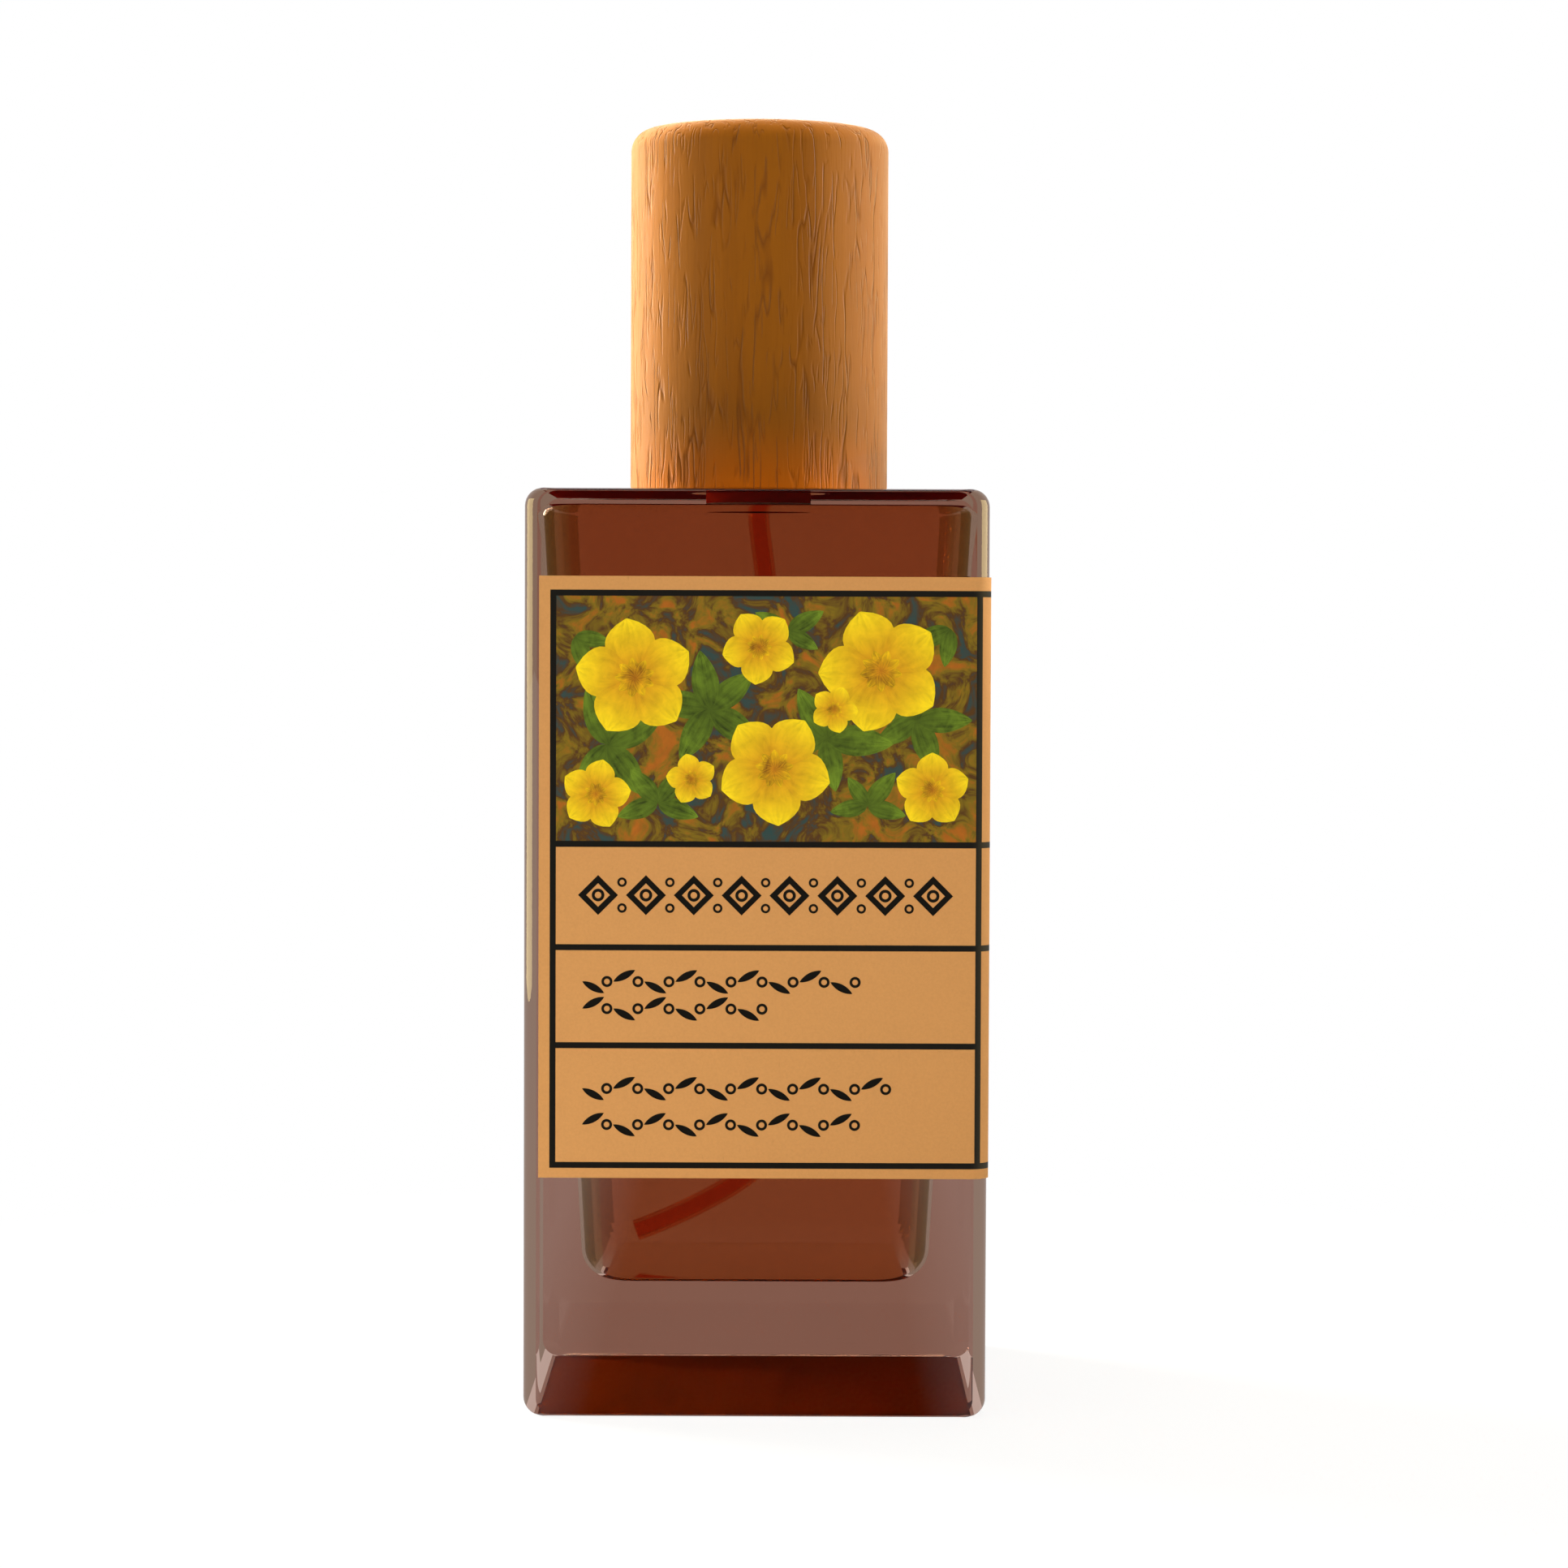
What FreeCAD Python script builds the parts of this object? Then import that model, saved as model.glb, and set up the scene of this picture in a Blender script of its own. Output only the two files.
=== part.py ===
import FreeCAD, Part

import math
import os

import Sketcher
from FreeCAD import Vector

# A square glass spray bottle with a crimped pump and a turned wooden cap.
# Millimetres, +Z up, origin at the middle of the base. The front looks along -Y.

doc = FreeCAD.newDocument("spray_bottle")

# Driving sizes: name, number, meaning
SIZES = (
    # glass bottle
    ("bottle_width", 36.0, "across the front"),
    ("bottle_depth", 36.0, "front to back"),
    ("bottle_height", 72.05, "base to shoulder"),
    ("edge_round", 1.4, "radius of all outer edges"),
    ("shoulder_wall", 1.2, "glass over the hollow"),
    ("base_wall", 9.8, "glass under the hollow"),
    ("wall_top", 1.0, "side wall at the shoulder"),
    ("wall_low", 4.4, "side wall at the floor of the hollow"),
    ("cavity_corner", 4.0, "corner radius of the hollow, in plan"),
    ("floor_round", 2.4, "radius round the floor of the hollow"),
    ("ceiling_round", 0.9, "radius round the ceiling of the hollow"),
    # crimp neck
    ("neck_height", 9.1, "shoulder to lip"),
    ("bead_step", 0.8, "bead beyond the neck under it"),
    ("neck_root_round", 0.8, "where the neck meets the shoulder"),
    ("bead_radius", 6.5, "13 mm crimp bead"),
    ("bead_height", 3.1, "straight side of the bead"),
    ("bead_round", 0.5, "upper edge of the bead"),
    ("bore_radius", 4.2, "inside of the neck"),
    ("lip_round", 0.3, "inner edge of the lip"),
    # fill
    ("fill_drop", 0.05, "liquid level under the ceiling"),
    ("fill_clearance", 0.05, "between the liquid and what it touches"),
    # label
    ("label_bottom", 18.65, "lower edge above the base"),
    ("label_height", 46.6, "lower edge to upper edge"),
    ("label_margin", 1.2, "bare glass beside both ends"),
    ("label_paper", 0.15, "thickness of the paper"),
    ("label_glue", 0.02, "thickness of the adhesive"),
    # gasket and pump housing
    ("gasket_thickness", 0.8, "compressed seal"),
    ("gasket_inset", 0.2, "seal edge inside the bead"),
    ("housing_flange", 0.9, "thickness of the flange"),
    ("flange_inset", 0.3, "flange edge inside the bead"),
    ("housing_clearance", 0.3, "housing in the neck bore"),
    ("chamber_radius", 2.7, "pump cylinder"),
    ("socket_step", 0.6, "seat of the turret beyond the cylinder"),
    ("socket_depth", 0.7, "depth of that seat"),
    ("tail_rise", 0.3, "lower end of the tail above the ceiling"),
    ("tail_length", 3.0, "straight part of the tail"),
    ("tail_cone", 1.0, "height of the cone above the tail"),
    ("tail_wall", 1.0, "wall round the tube"),
    ("inlet_radius", 0.5, "inlet under the valve"),
    ("inlet_length", 0.3, "from the tube's end to the valve seat"),
    ("seat_height", 1.0, "height of the valve cone"),
    ("cage_radius", 1.1, "space round the ball"),
    ("cage_height", 1.1, "from the valve cone to the spring seat"),
    ("nib_count", 3.0, "nibs that keep the ball in its cage"),
    ("nib_reach", 0.45, "nib into the cage"),
    ("nib_width", 0.4, "nib, across"),
    ("nib_height", 0.3, "nib, under the spring seat"),
    ("vent_radius", 0.25, "air vent in the housing's side"),
    ("vent_drop", 1.2, "vent under the flange"),
    # valve ball
    ("ball_radius", 0.8, "inlet ball"),
    ("ball_gap", 0.05, "ball to cone"),
    # dip tube
    ("tube_radius", 0.85, "outside"),
    ("tube_bore", 0.55, "inside radius"),
    ("tube_insert", 2.6, "length held in the tail"),
    ("tube_fit", 0.02, "tube in the tail, radial"),
    ("tube_lead", 0.5, "straight length under the tail"),
    ("tube_entry_bend", 12.0, "radius of the first gentle bend"),
    ("tube_main_bend", 15.6, "radius of the low bend"),
    ("tube_end_bend", 45.0, "radius of the last stretch"),
    ("tube_end_turn", 10.0, "degrees that the last stretch turns"),
    ("tube_end_slope", 20.0, "degrees under level at the tip"),
    ("tip_side_gap", 3.9, "tip to the side wall at the floor"),
    ("tip_rise", 2.6, "tip above the floor of the hollow"),
    # turret, ferrule and collar
    ("turret_flange", 0.6, "thickness of the clamped rim"),
    ("turret_rim", 1.3, "rim beyond the turret's wall"),
    ("turret_fit", 0.02, "turret in its seat, radial"),
    ("turret_ledge", 0.25, "turret over the cylinder, which stops the piston"),
    ("turret_rise", 1.55, "turret above the ferrule"),
    ("turret_roof", 0.75, "roof of the turret"),
    ("turret_round", 0.3, "upper edge of the turret"),
    ("ferrule_sheet", 0.35, "aluminium sheet"),
    ("ferrule_fit", 0.05, "ferrule on the bead, radial"),
    ("ferrule_hole_gap", 0.2, "round the turret"),
    ("ferrule_round", 0.4, "upper edge of the ferrule"),
    ("crimp_turn", 0.55, "how far the rim turns in"),
    ("crimp_drop", 0.6, "height of the turned rim"),
    ("collar_wall", 0.45, "sheet of the collar"),
    ("collar_fit", 0.05, "collar on the ferrule, radial"),
    ("head_clearance", 0.35, "collar's lip round the pressed head, radial"),
    ("collar_roof", 0.4, "thickness of that lip"),
    ("collar_round", 0.35, "upper edge of the collar"),
    ("collar_gap", 0.1, "collar above the shoulder"),
    # stem, piston and springs
    ("stroke", 2.4, "travel of the spray head"),
    ("stem_radius", 1.4, "stem"),
    ("stem_bore", 0.5, "bore of the stem"),
    ("stem_lead", 0.2, "chamfer at the stem's top"),
    ("stem_fit", 0.08, "stem in the turret and the piston, radial"),
    ("foot_gap", 0.4, "foot of the stem in the cylinder, radial"),
    ("foot_height", 0.5, "thickness of the foot"),
    ("port_radius", 0.3, "cross port of the stem"),
    ("stem_collar_gap", 0.25, "collar of the stem in the turret, radial"),
    ("stem_collar_height", 0.5, "thickness of that collar"),
    ("stem_stop_gap", 0.05, "collar under the turret's roof"),
    ("piston_height", 1.6, "lip to lip"),
    ("piston_fit", 0.06, "piston in the chamber, radial"),
    ("piston_rest_gap", 0.1, "piston under the turret"),
    ("piston_hub_wall", 0.45, "hub round the stem"),
    ("piston_ring_wall", 0.35, "outer ring"),
    ("piston_lip_relief", 0.12, "waist between the lips"),
    ("piston_lip_height", 0.4, "each lip"),
    ("piston_web", 0.6, "web between hub and ring"),
    ("spring_wire", 0.4, "wire of the return spring"),
    ("spring_turns", 4.0, "coils of the return spring"),
    ("spring_gap", 0.4, "return spring in the cylinder, radial"),
    ("prime_wire", 0.3, "wire of the prime spring"),
    ("prime_turns", 2.0, "coils of the prime spring"),
    ("prime_gap", 0.25, "prime spring round the stem, radial"),
    ("spring_seat_gap", 0.02, "spring to its seats"),
    # spray head
    ("press_gap", 0.25, "left under the head when it is pressed"),
    ("head_radius", 5.6, "outside of the metal cover"),
    ("head_sheet", 0.35, "metal cover"),
    ("head_round", 0.5, "upper edge of the cover"),
    ("dish_depth", 0.3, "finger dish"),
    ("dish_rim", 0.9, "flat rim round the dish"),
    ("core_fit", 0.02, "core in the cover, radial"),
    ("core_recess", 0.2, "core above the cover's lower edge"),
    ("core_wall", 0.75, "side wall of the core"),
    ("core_roof", 1.4, "roof of the core"),
    ("core_rib_count", 6.0, "ribs under the core's roof"),
    ("core_rib_width", 0.6, "rib, across"),
    ("core_rib_depth", 2.5, "rib, under the roof"),
    ("hub_radius", 2.5, "hub on the stem"),
    ("hub_grip", 2.1, "stem length held in the hub"),
    ("hub_fit", 0.02, "hub on the stem, radial"),
    ("feed_radius", 0.4, "channel to the nozzle"),
    ("nozzle_rise", 0.4, "nozzle axis above the stem"),
    ("nozzle_radius", 1.5, "spray insert"),
    ("nozzle_fit", 0.02, "insert in its pocket, radial"),
    ("nozzle_length", 2.5, "spray insert"),
    ("nozzle_proud", 0.1, "insert beyond the cover"),
    ("nozzle_wall", 0.5, "front wall of the insert"),
    ("nozzle_side", 0.5, "side wall of the insert"),
    ("orifice_radius", 0.16, "spray orifice"),
    ("orifice_flare", 0.55, "radius of its flare"),
    ("orifice_depth", 0.25, "depth of its flare"),
    ("boss_wall", 0.6, "boss round the insert"),
    ("window_gap", 0.15, "cover round the insert"),
    ("head_cover", 1.5, "from the insert to the head's top"),
    # wooden cap
    ("cap_height", 29.35, "lower edge to top"),
    ("cap_wall", 2.07, "wood round the liner"),
    ("cap_round", 1.75, "upper edge"),
    ("cap_foot_round", 0.3, "lower edge, outside and inside"),
    ("cap_gap", 0.05, "cap above the shoulder"),
    ("cap_roof", 3.0, "wood over the liner"),
    ("liner_fit", 0.02, "liner in the wood, radial"),
    ("liner_roof", 0.9, "roof of the liner"),
    ("liner_wall", 0.6, "side wall of the liner"),
    ("liner_recess", 0.3, "liner above the cap's lower edge"),
    ("rib_height", 0.25, "grip rib"),
    ("rib_width", 0.8, "grip rib"),
    ("rib_length", 7.0, "grip rib"),
    ("rib_count", 8.0, "grip ribs"),
    ("rib_lead", 1.2, "ribs above the liner's lower edge"),
    ("cap_clearance", 0.06, "grip ribs on the collar, radial"),
)

# Heights and radii that follow from the sizes
LEVELS = (
    ("half_width", "dims.bottle_width / 2"),
    ("half_depth", "dims.bottle_depth / 2"),
    ("cavity_floor", "dims.base_wall"),
    ("cavity_ceiling", "dims.bottle_height - dims.shoulder_wall"),
    ("top_half_width", "half_width - dims.wall_top"),
    ("top_half_depth", "half_depth - dims.wall_top"),
    ("low_half_width", "half_width - dims.wall_low"),
    ("low_half_depth", "half_depth - dims.wall_low"),
    ("fill_floor", "cavity_floor + dims.fill_clearance"),
    ("fill_level", "cavity_ceiling - dims.fill_drop"),
    ("fill_share", "(fill_level - cavity_floor) / (cavity_ceiling - cavity_floor)"),
    ("fill_top_half_width",
     "low_half_width + (top_half_width - low_half_width) * fill_share - dims.fill_clearance"),
    ("fill_top_half_depth",
     "low_half_depth + (top_half_depth - low_half_depth) * fill_share - dims.fill_clearance"),
    ("fill_low_half_width", "low_half_width - dims.fill_clearance"),
    ("fill_low_half_depth", "low_half_depth - dims.fill_clearance"),
    ("neck_radius", "dims.bead_radius - dims.bead_step"),
    ("neck_foot", "dims.bottle_height - dims.shoulder_wall / 2"),
    ("neck_top", "dims.bottle_height + dims.neck_height"),
    ("bead_bottom", "neck_top - dims.bead_height"),
    ("bead_root", "bead_bottom - dims.bead_step"),
    ("flange_bottom", "neck_top + dims.gasket_thickness"),
    ("flange_top", "flange_bottom + dims.housing_flange"),
    ("ferrule_under", "flange_top + dims.turret_flange"),
    ("ferrule_top", "ferrule_under + dims.ferrule_sheet"),
    ("ferrule_inner", "dims.bead_radius + dims.ferrule_fit"),
    ("ferrule_outer", "ferrule_inner + dims.ferrule_sheet"),
    ("crimp_bottom", "bead_bottom - dims.crimp_drop"),
    ("collar_inner", "ferrule_outer + dims.collar_fit"),
    ("collar_outer", "collar_inner + dims.collar_wall"),
    ("collar_bottom", "dims.bottle_height + dims.collar_gap"),
    ("collar_top", "ferrule_top + dims.collar_roof"),
    ("collar_lip_radius", "dims.head_radius + dims.head_clearance"),
    ("socket_radius", "dims.chamber_radius + dims.socket_step"),
    ("turret_radius", "socket_radius - dims.turret_fit"),
    ("turret_inner", "dims.chamber_radius - dims.turret_ledge"),
    ("turret_top", "ferrule_top + dims.turret_rise"),
    ("turret_under", "turret_top - dims.turret_roof"),
    ("socket_floor", "flange_top - dims.socket_depth"),
    ("housing_radius", "dims.bore_radius - dims.housing_clearance"),
    ("tail_bottom", "cavity_ceiling + dims.tail_rise"),
    ("tail_top", "tail_bottom + dims.tail_length"),
    ("cone_top", "tail_top + dims.tail_cone"),
    ("tube_socket", "dims.tube_radius + dims.tube_fit"),
    ("tail_radius", "tube_socket + dims.tail_wall"),
    ("tube_top", "tail_bottom + dims.tube_insert"),
    ("seat_bottom", "tube_top + dims.inlet_length"),
    ("seat_top", "seat_bottom + dims.seat_height"),
    ("spring_seat", "seat_top + dims.cage_height"),
    ("seat_slope", "(dims.cage_radius - dims.inlet_radius) / dims.seat_height"),
    ("ball_centre",
     "seat_bottom + ((dims.ball_radius + dims.ball_gap) * sqrt(1 + seat_slope * seat_slope)"
     " - dims.inlet_radius) / seat_slope"),
    ("piston_top", "socket_floor - dims.piston_rest_gap"),
    ("piston_bottom", "piston_top - dims.piston_height"),
    ("piston_middle", "piston_bottom + dims.piston_height / 2"),
    ("piston_bore", "dims.stem_radius + dims.stem_fit"),
    ("piston_hub", "piston_bore + dims.piston_hub_wall"),
    ("piston_radius", "dims.chamber_radius - dims.piston_fit"),
    ("piston_ring", "piston_radius - dims.piston_ring_wall"),
    ("foot_radius", "dims.chamber_radius - dims.foot_gap"),
    ("stem_collar_radius", "turret_inner - dims.stem_collar_gap"),
    ("spring_radius", "dims.chamber_radius - dims.spring_gap - dims.spring_wire / 2"),
    ("prime_radius", "dims.stem_radius + dims.prime_gap + dims.prime_wire / 2"),
    ("foot_bottom", "piston_bottom - dims.foot_height"),
    ("stem_collar_top", "turret_under - dims.stem_stop_gap"),
    ("stem_collar_bottom", "stem_collar_top - dims.stem_collar_height"),
    ("hub_bottom", "turret_top + dims.stroke + dims.press_gap"),
    ("stem_top", "hub_bottom + dims.hub_grip"),
    ("nozzle_level", "stem_top + dims.nozzle_rise"),
    ("head_bottom", "ferrule_top + dims.stroke + dims.press_gap"),
    ("head_top", "nozzle_level + dims.nozzle_radius + dims.head_cover"),
    ("head_under", "head_top - dims.head_sheet"),
    ("head_inner", "dims.head_radius - dims.head_sheet"),
    ("dish_radius", "dims.head_radius - dims.dish_rim"),
    ("core_radius", "head_inner - dims.core_fit"),
    ("core_inner", "core_radius - dims.core_wall"),
    ("core_bottom", "head_bottom + dims.core_recess"),
    ("core_top", "head_under - dims.dish_depth"),
    ("core_ceiling", "core_top - dims.core_roof"),
    ("nozzle_front", "dims.head_radius + dims.nozzle_proud"),
    ("nozzle_back", "nozzle_front - dims.nozzle_length"),
    ("cap_bottom", "dims.bottle_height + dims.cap_gap"),
    ("cap_top", "cap_bottom + dims.cap_height"),
    ("rib_tip", "collar_outer + dims.cap_clearance"),
    ("liner_inner", "rib_tip + dims.rib_height"),
    ("liner_outer", "liner_inner + dims.liner_wall"),
    ("cap_bore", "liner_outer + dims.liner_fit"),
    ("cap_radius", "cap_bore + dims.cap_wall"),
    ("cap_ceiling", "cap_top - dims.cap_roof"),
    ("liner_top", "cap_ceiling - dims.liner_fit"),
    ("liner_under", "liner_top - dims.liner_roof"),
    ("liner_bottom", "cap_bottom + dims.liner_recess"),
)


def fill_sheet(name, rows):
    """A spreadsheet with one named cell per row."""
    sheet = doc.addObject("Spreadsheet::Sheet", name)
    for number, row in enumerate(rows, start=1):
        cell = f"B{number}"
        sheet.set(f"A{number}", row[0])
        sheet.set(cell, row[1])
        sheet.setAlias(cell, row[0])
        sheet.set(f"C{number}", row[2])
    doc.recompute()
    return sheet


dims = fill_sheet("dims", [(name, str(number), note) for name, number, note in SIZES])
levels = fill_sheet("levels", [(name, "=" + rule, "follows") for name, rule in LEVELS])


def value(rule):
    """The number that a rule such as "levels.neck_top + 1" stands for."""
    return float(levels.evalExpression(rule))


# Bodies, sketches and features


def new_body(name):
    body = doc.addObject("PartDesign::Body", name)
    body.Label = name
    return body


def origin_feature(body, role):
    return next(feature for feature in body.Origin.OriginFeatures if feature.Role == role)


def new_sketch(body, name, plane, along="0", up="0"):
    """A sketch on an origin plane, moved along its normal and up its own second axis."""
    sketch = body.newObject("Sketcher::SketchObject", name)
    sketch.AttachmentSupport = [(origin_feature(body, plane), "")]
    sketch.MapMode = "FlatFace"
    sketch.setExpression("AttachmentOffset.Base.z", along)
    sketch.setExpression("AttachmentOffset.Base.y", up)
    return sketch


def bind(sketch, constraint, rule):
    """Adds a sizing constraint and ties it to a rule."""
    index = sketch.addConstraint(constraint)
    sketch.renameConstraint(index, f"size_{index}")
    sketch.setExpression(f"Constraints.size_{index}", rule)


def place(sketch, geometry, point, across, up):
    """Ties a point of a sketch to its place from the sketch's origin."""
    bind(sketch, Sketcher.Constraint("DistanceX", -1, 1, geometry, point, value(across)), across)
    bind(sketch, Sketcher.Constraint("DistanceY", -1, 1, geometry, point, value(up)), up)


def draw_outline(sketch, corners):
    """A closed outline of straight lines, with every corner tied to its rules."""
    spots = [Vector(value(across), value(up), 0) for across, up in corners]
    count = len(spots)
    for index in range(count):
        sketch.addGeometry(Part.LineSegment(spots[index], spots[(index + 1) % count]), False)
    for index in range(count):
        sketch.addConstraint(Sketcher.Constraint("Coincident", index, 2, (index + 1) % count, 1))
    for index, (across, up) in enumerate(corners):
        place(sketch, index, 1, across, up)


def draw_circle(sketch, radius, across="0", up="0"):
    centre = Vector(value(across), value(up), 0)
    index = sketch.addGeometry(Part.Circle(centre, Vector(0, 0, 1), value(radius)), False)
    bind(sketch, Sketcher.Constraint("Radius", index, value(radius)), radius)
    place(sketch, index, 3, across, up)


def draw_rounded_rectangle(sketch, half_width, half_depth, corner):
    """A centred rectangle with round corners: lines and arcs in turn, all tangent."""
    wide, deep, bend = value(half_width), value(half_depth), value(corner)
    quarter = math.pi / 2
    flat_x, flat_y = wide - bend, deep - bend
    sides = (
        (Vector(-flat_x, -deep, 0), Vector(flat_x, -deep, 0), Vector(flat_x, -flat_y, 0)),
        (Vector(wide, -flat_y, 0), Vector(wide, flat_y, 0), Vector(flat_x, flat_y, 0)),
        (Vector(flat_x, deep, 0), Vector(-flat_x, deep, 0), Vector(-flat_x, flat_y, 0)),
        (Vector(-wide, flat_y, 0), Vector(-wide, -flat_y, 0), Vector(-flat_x, -flat_y, 0)),
    )
    for number, (start, end, centre) in enumerate(sides):
        turned = (number - 1) * quarter
        circle = Part.Circle(centre, Vector(0, 0, 1), bend)
        sketch.addGeometry(Part.LineSegment(start, end), False)
        sketch.addGeometry(Part.ArcOfCircle(circle, turned, turned + quarter), False)
    for line in range(0, 8, 2):
        direction = "Vertical" if line % 4 else "Horizontal"
        sketch.addConstraint(Sketcher.Constraint(direction, line))
        sketch.addConstraint(Sketcher.Constraint("Tangent", line, 2, line + 1, 1))
        sketch.addConstraint(Sketcher.Constraint("Tangent", line + 1, 2, (line + 2) % 8, 1))
    for arc in (3, 5, 7):
        sketch.addConstraint(Sketcher.Constraint("Equal", 1, arc))
    bind(sketch, Sketcher.Constraint("Radius", 1, bend), corner)
    bind(sketch, Sketcher.Constraint("DistanceY", 0, 1, -1, 1, deep), half_depth)
    bind(sketch, Sketcher.Constraint("DistanceX", -1, 1, 2, 1, wide), half_width)
    bind(sketch, Sketcher.Constraint("DistanceY", -1, 1, 4, 1, deep), half_depth)
    bind(sketch, Sketcher.Constraint("DistanceX", 6, 1, -1, 1, wide), half_width)


def turn(body, corners):
    """A body of revolution about Z from an outline of (radius, height) corners."""
    sketch = new_sketch(body, f"{body.Name}_profile", "XZ_Plane")
    draw_outline(sketch, corners)
    feature = body.newObject("PartDesign::Revolution", f"{body.Name}_turned")
    feature.Profile = sketch
    feature.ReferenceAxis = (sketch, ["V_Axis"])
    feature.Angle = 360
    doc.recompute()
    return feature


def extrude(body, kind, sketch, length, backwards=False):
    feature = body.newObject(kind, f"{sketch.Name}_swept")
    feature.Profile = sketch
    feature.setExpression("Length", length)
    feature.Reversed = backwards
    doc.recompute()
    return feature


def dress(body, kind, setting, edges, size):
    """A fillet or chamfer of the body's tip along the given edges."""
    tip = body.Tip
    feature = body.newObject(kind, f"{body.Name}_edge")
    feature.Base = (tip, edges)
    feature.setExpression(setting, size)
    doc.recompute()
    return feature


def round_edges(body, edges, radius):
    return dress(body, "PartDesign::Fillet", "Radius", edges, radius)


def spokes(body, name, height, near, far, width, length, count):
    """Upright blocks that reach from one radius to another, repeated round Z."""
    plan = new_sketch(body, f"{name}_plan", "XY_Plane", along=height)
    side = f"{width} / 2"
    draw_outline(plan, ((near, f"-{side}"), (far, f"-{side}"), (far, side), (near, side)))
    block = extrude(body, "PartDesign::Pad", plan, length)
    ring = body.newObject("PartDesign::PolarPattern", f"{name}_ring")
    ring.Originals = [block]
    ring.Axis = (origin_feature(body, "Z_Axis"), [""])
    ring.Angle = 360
    ring.setExpression("Occurrences", count)
    body.Tip = ring
    doc.recompute()


NEAR = 1e-4


def rim(body, radius, height):
    """The names of the tip's circular edges about Z with that radius at that height."""
    wanted, level = value(radius), value(height)
    names = []
    for number, edge in enumerate(body.Tip.Shape.Edges, start=1):
        if edge.Degenerated:
            continue
        curve = edge.Curve
        if isinstance(curve, Part.Circle) and abs(curve.Radius - wanted) < NEAR:
            if abs(curve.Center.z - level) < NEAR and math.hypot(curve.Center.x, curve.Center.y) < NEAR:
                names.append(f"Edge{number}")
    return names


def loop(body, height, beyond):
    """The names of the tip's edges that lie flat at that height, outside a radius from the axis."""
    level, least = value(height), value(beyond)
    names = []
    for number, edge in enumerate(body.Tip.Shape.Edges, start=1):
        if edge.Degenerated:
            continue
        box = edge.BoundBox
        flat = abs(box.ZMin - level) < NEAR and abs(box.ZMax - level) < NEAR
        middle = edge.valueAt((edge.FirstParameter + edge.LastParameter) / 2)
        if flat and math.hypot(middle.x, middle.y) > least:
            names.append(f"Edge{number}")
    return names


# Glass and what is in and on it


def hollow(body, kind, sections):
    """A straight-sided loft between two rounded rectangles, the upper one first."""
    sketches = []
    for place_name, (height, half_width, half_depth, corner) in zip(("upper", "lower"), sections):
        sketch = new_sketch(body, f"{body.Name}_{place_name}", "XY_Plane", along=height)
        draw_rounded_rectangle(sketch, half_width, half_depth, corner)
        sketches.append(sketch)
    loft = body.newObject(kind, f"{body.Name}_hollow")
    loft.Profile = sketches[0]
    loft.Sections = [sketches[1]]
    loft.Ruled = True
    doc.recompute()


def make_glass_bottle():
    body = new_body("glass_bottle")
    plan = new_sketch(body, "bottle_plan", "XY_Plane")
    draw_outline(plan, (
        ("-levels.half_width", "-levels.half_depth"),
        ("levels.half_width", "-levels.half_depth"),
        ("levels.half_width", "levels.half_depth"),
        ("-levels.half_width", "levels.half_depth"),
    ))
    block = extrude(body, "PartDesign::Pad", plan, "dims.bottle_height")
    round_edges(body, [f"Edge{n}" for n in range(1, len(block.Shape.Edges) + 1)], "dims.edge_round")
    turn(body, (
        ("0", "levels.neck_foot"),
        ("levels.neck_radius", "levels.neck_foot"),
        ("levels.neck_radius", "levels.bead_root"),
        ("dims.bead_radius", "levels.bead_bottom"),
        ("dims.bead_radius", "levels.neck_top"),
        ("0", "levels.neck_top"),
    ))
    round_edges(body, rim(body, "levels.neck_radius", "dims.bottle_height"), "dims.neck_root_round")
    round_edges(body, rim(body, "dims.bead_radius", "levels.neck_top"), "dims.bead_round")
    hollow(body, "PartDesign::SubtractiveLoft", (
        ("levels.cavity_ceiling", "levels.top_half_width", "levels.top_half_depth", "dims.cavity_corner"),
        ("levels.cavity_floor", "levels.low_half_width", "levels.low_half_depth", "dims.cavity_corner"),
    ))
    round_edges(body, loop(body, "levels.cavity_floor", "0"), "dims.floor_round")
    round_edges(body, loop(body, "levels.cavity_ceiling", "0"), "dims.ceiling_round")
    mouth = new_sketch(body, "bottle_mouth", "XY_Plane", along="levels.neck_top")
    draw_circle(mouth, "dims.bore_radius")
    extrude(body, "PartDesign::Pocket", mouth, "dims.neck_height + dims.shoulder_wall + dims.ceiling_round")
    round_edges(body, rim(body, "dims.bore_radius", "levels.neck_top"), "dims.lip_round")
    return body


def tube_route():
    """Key points of the dip tube in its XZ plane, as a first guess for its sketch."""
    tip_heading = -math.radians(90 - value("dims.tube_end_slope"))
    low_heading = tip_heading + math.radians(value("dims.tube_end_turn"))
    first, main, last = (value(f"dims.tube_{name}_bend") for name in ("entry", "main", "end"))
    drop = Vector(0, value("levels.tail_bottom - dims.tube_lead"), 0)
    tip = Vector(value("dims.tip_side_gap - levels.low_half_width"),
                 value("levels.cavity_floor + dims.tip_rise"), 0)

    def bend(radius, start, end):
        across = radius * (math.cos(end) - math.cos(start))
        return Vector(across, radius * (math.sin(end) - math.sin(start)), 0)

    low = tip - bend(last, low_heading, tip_heading)
    lean = 0.15
    for _ in range(30):
        entered = Vector(drop.x + first * (1 - math.cos(lean)), drop.y - first * math.sin(lean), 0)
        turned = low - bend(main, lean, low_heading)
        lean = math.atan2(turned.x - entered.x, entered.y - turned.y)
    return drop, entered, turned, low, tip, lean, low_heading, tip_heading


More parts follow.
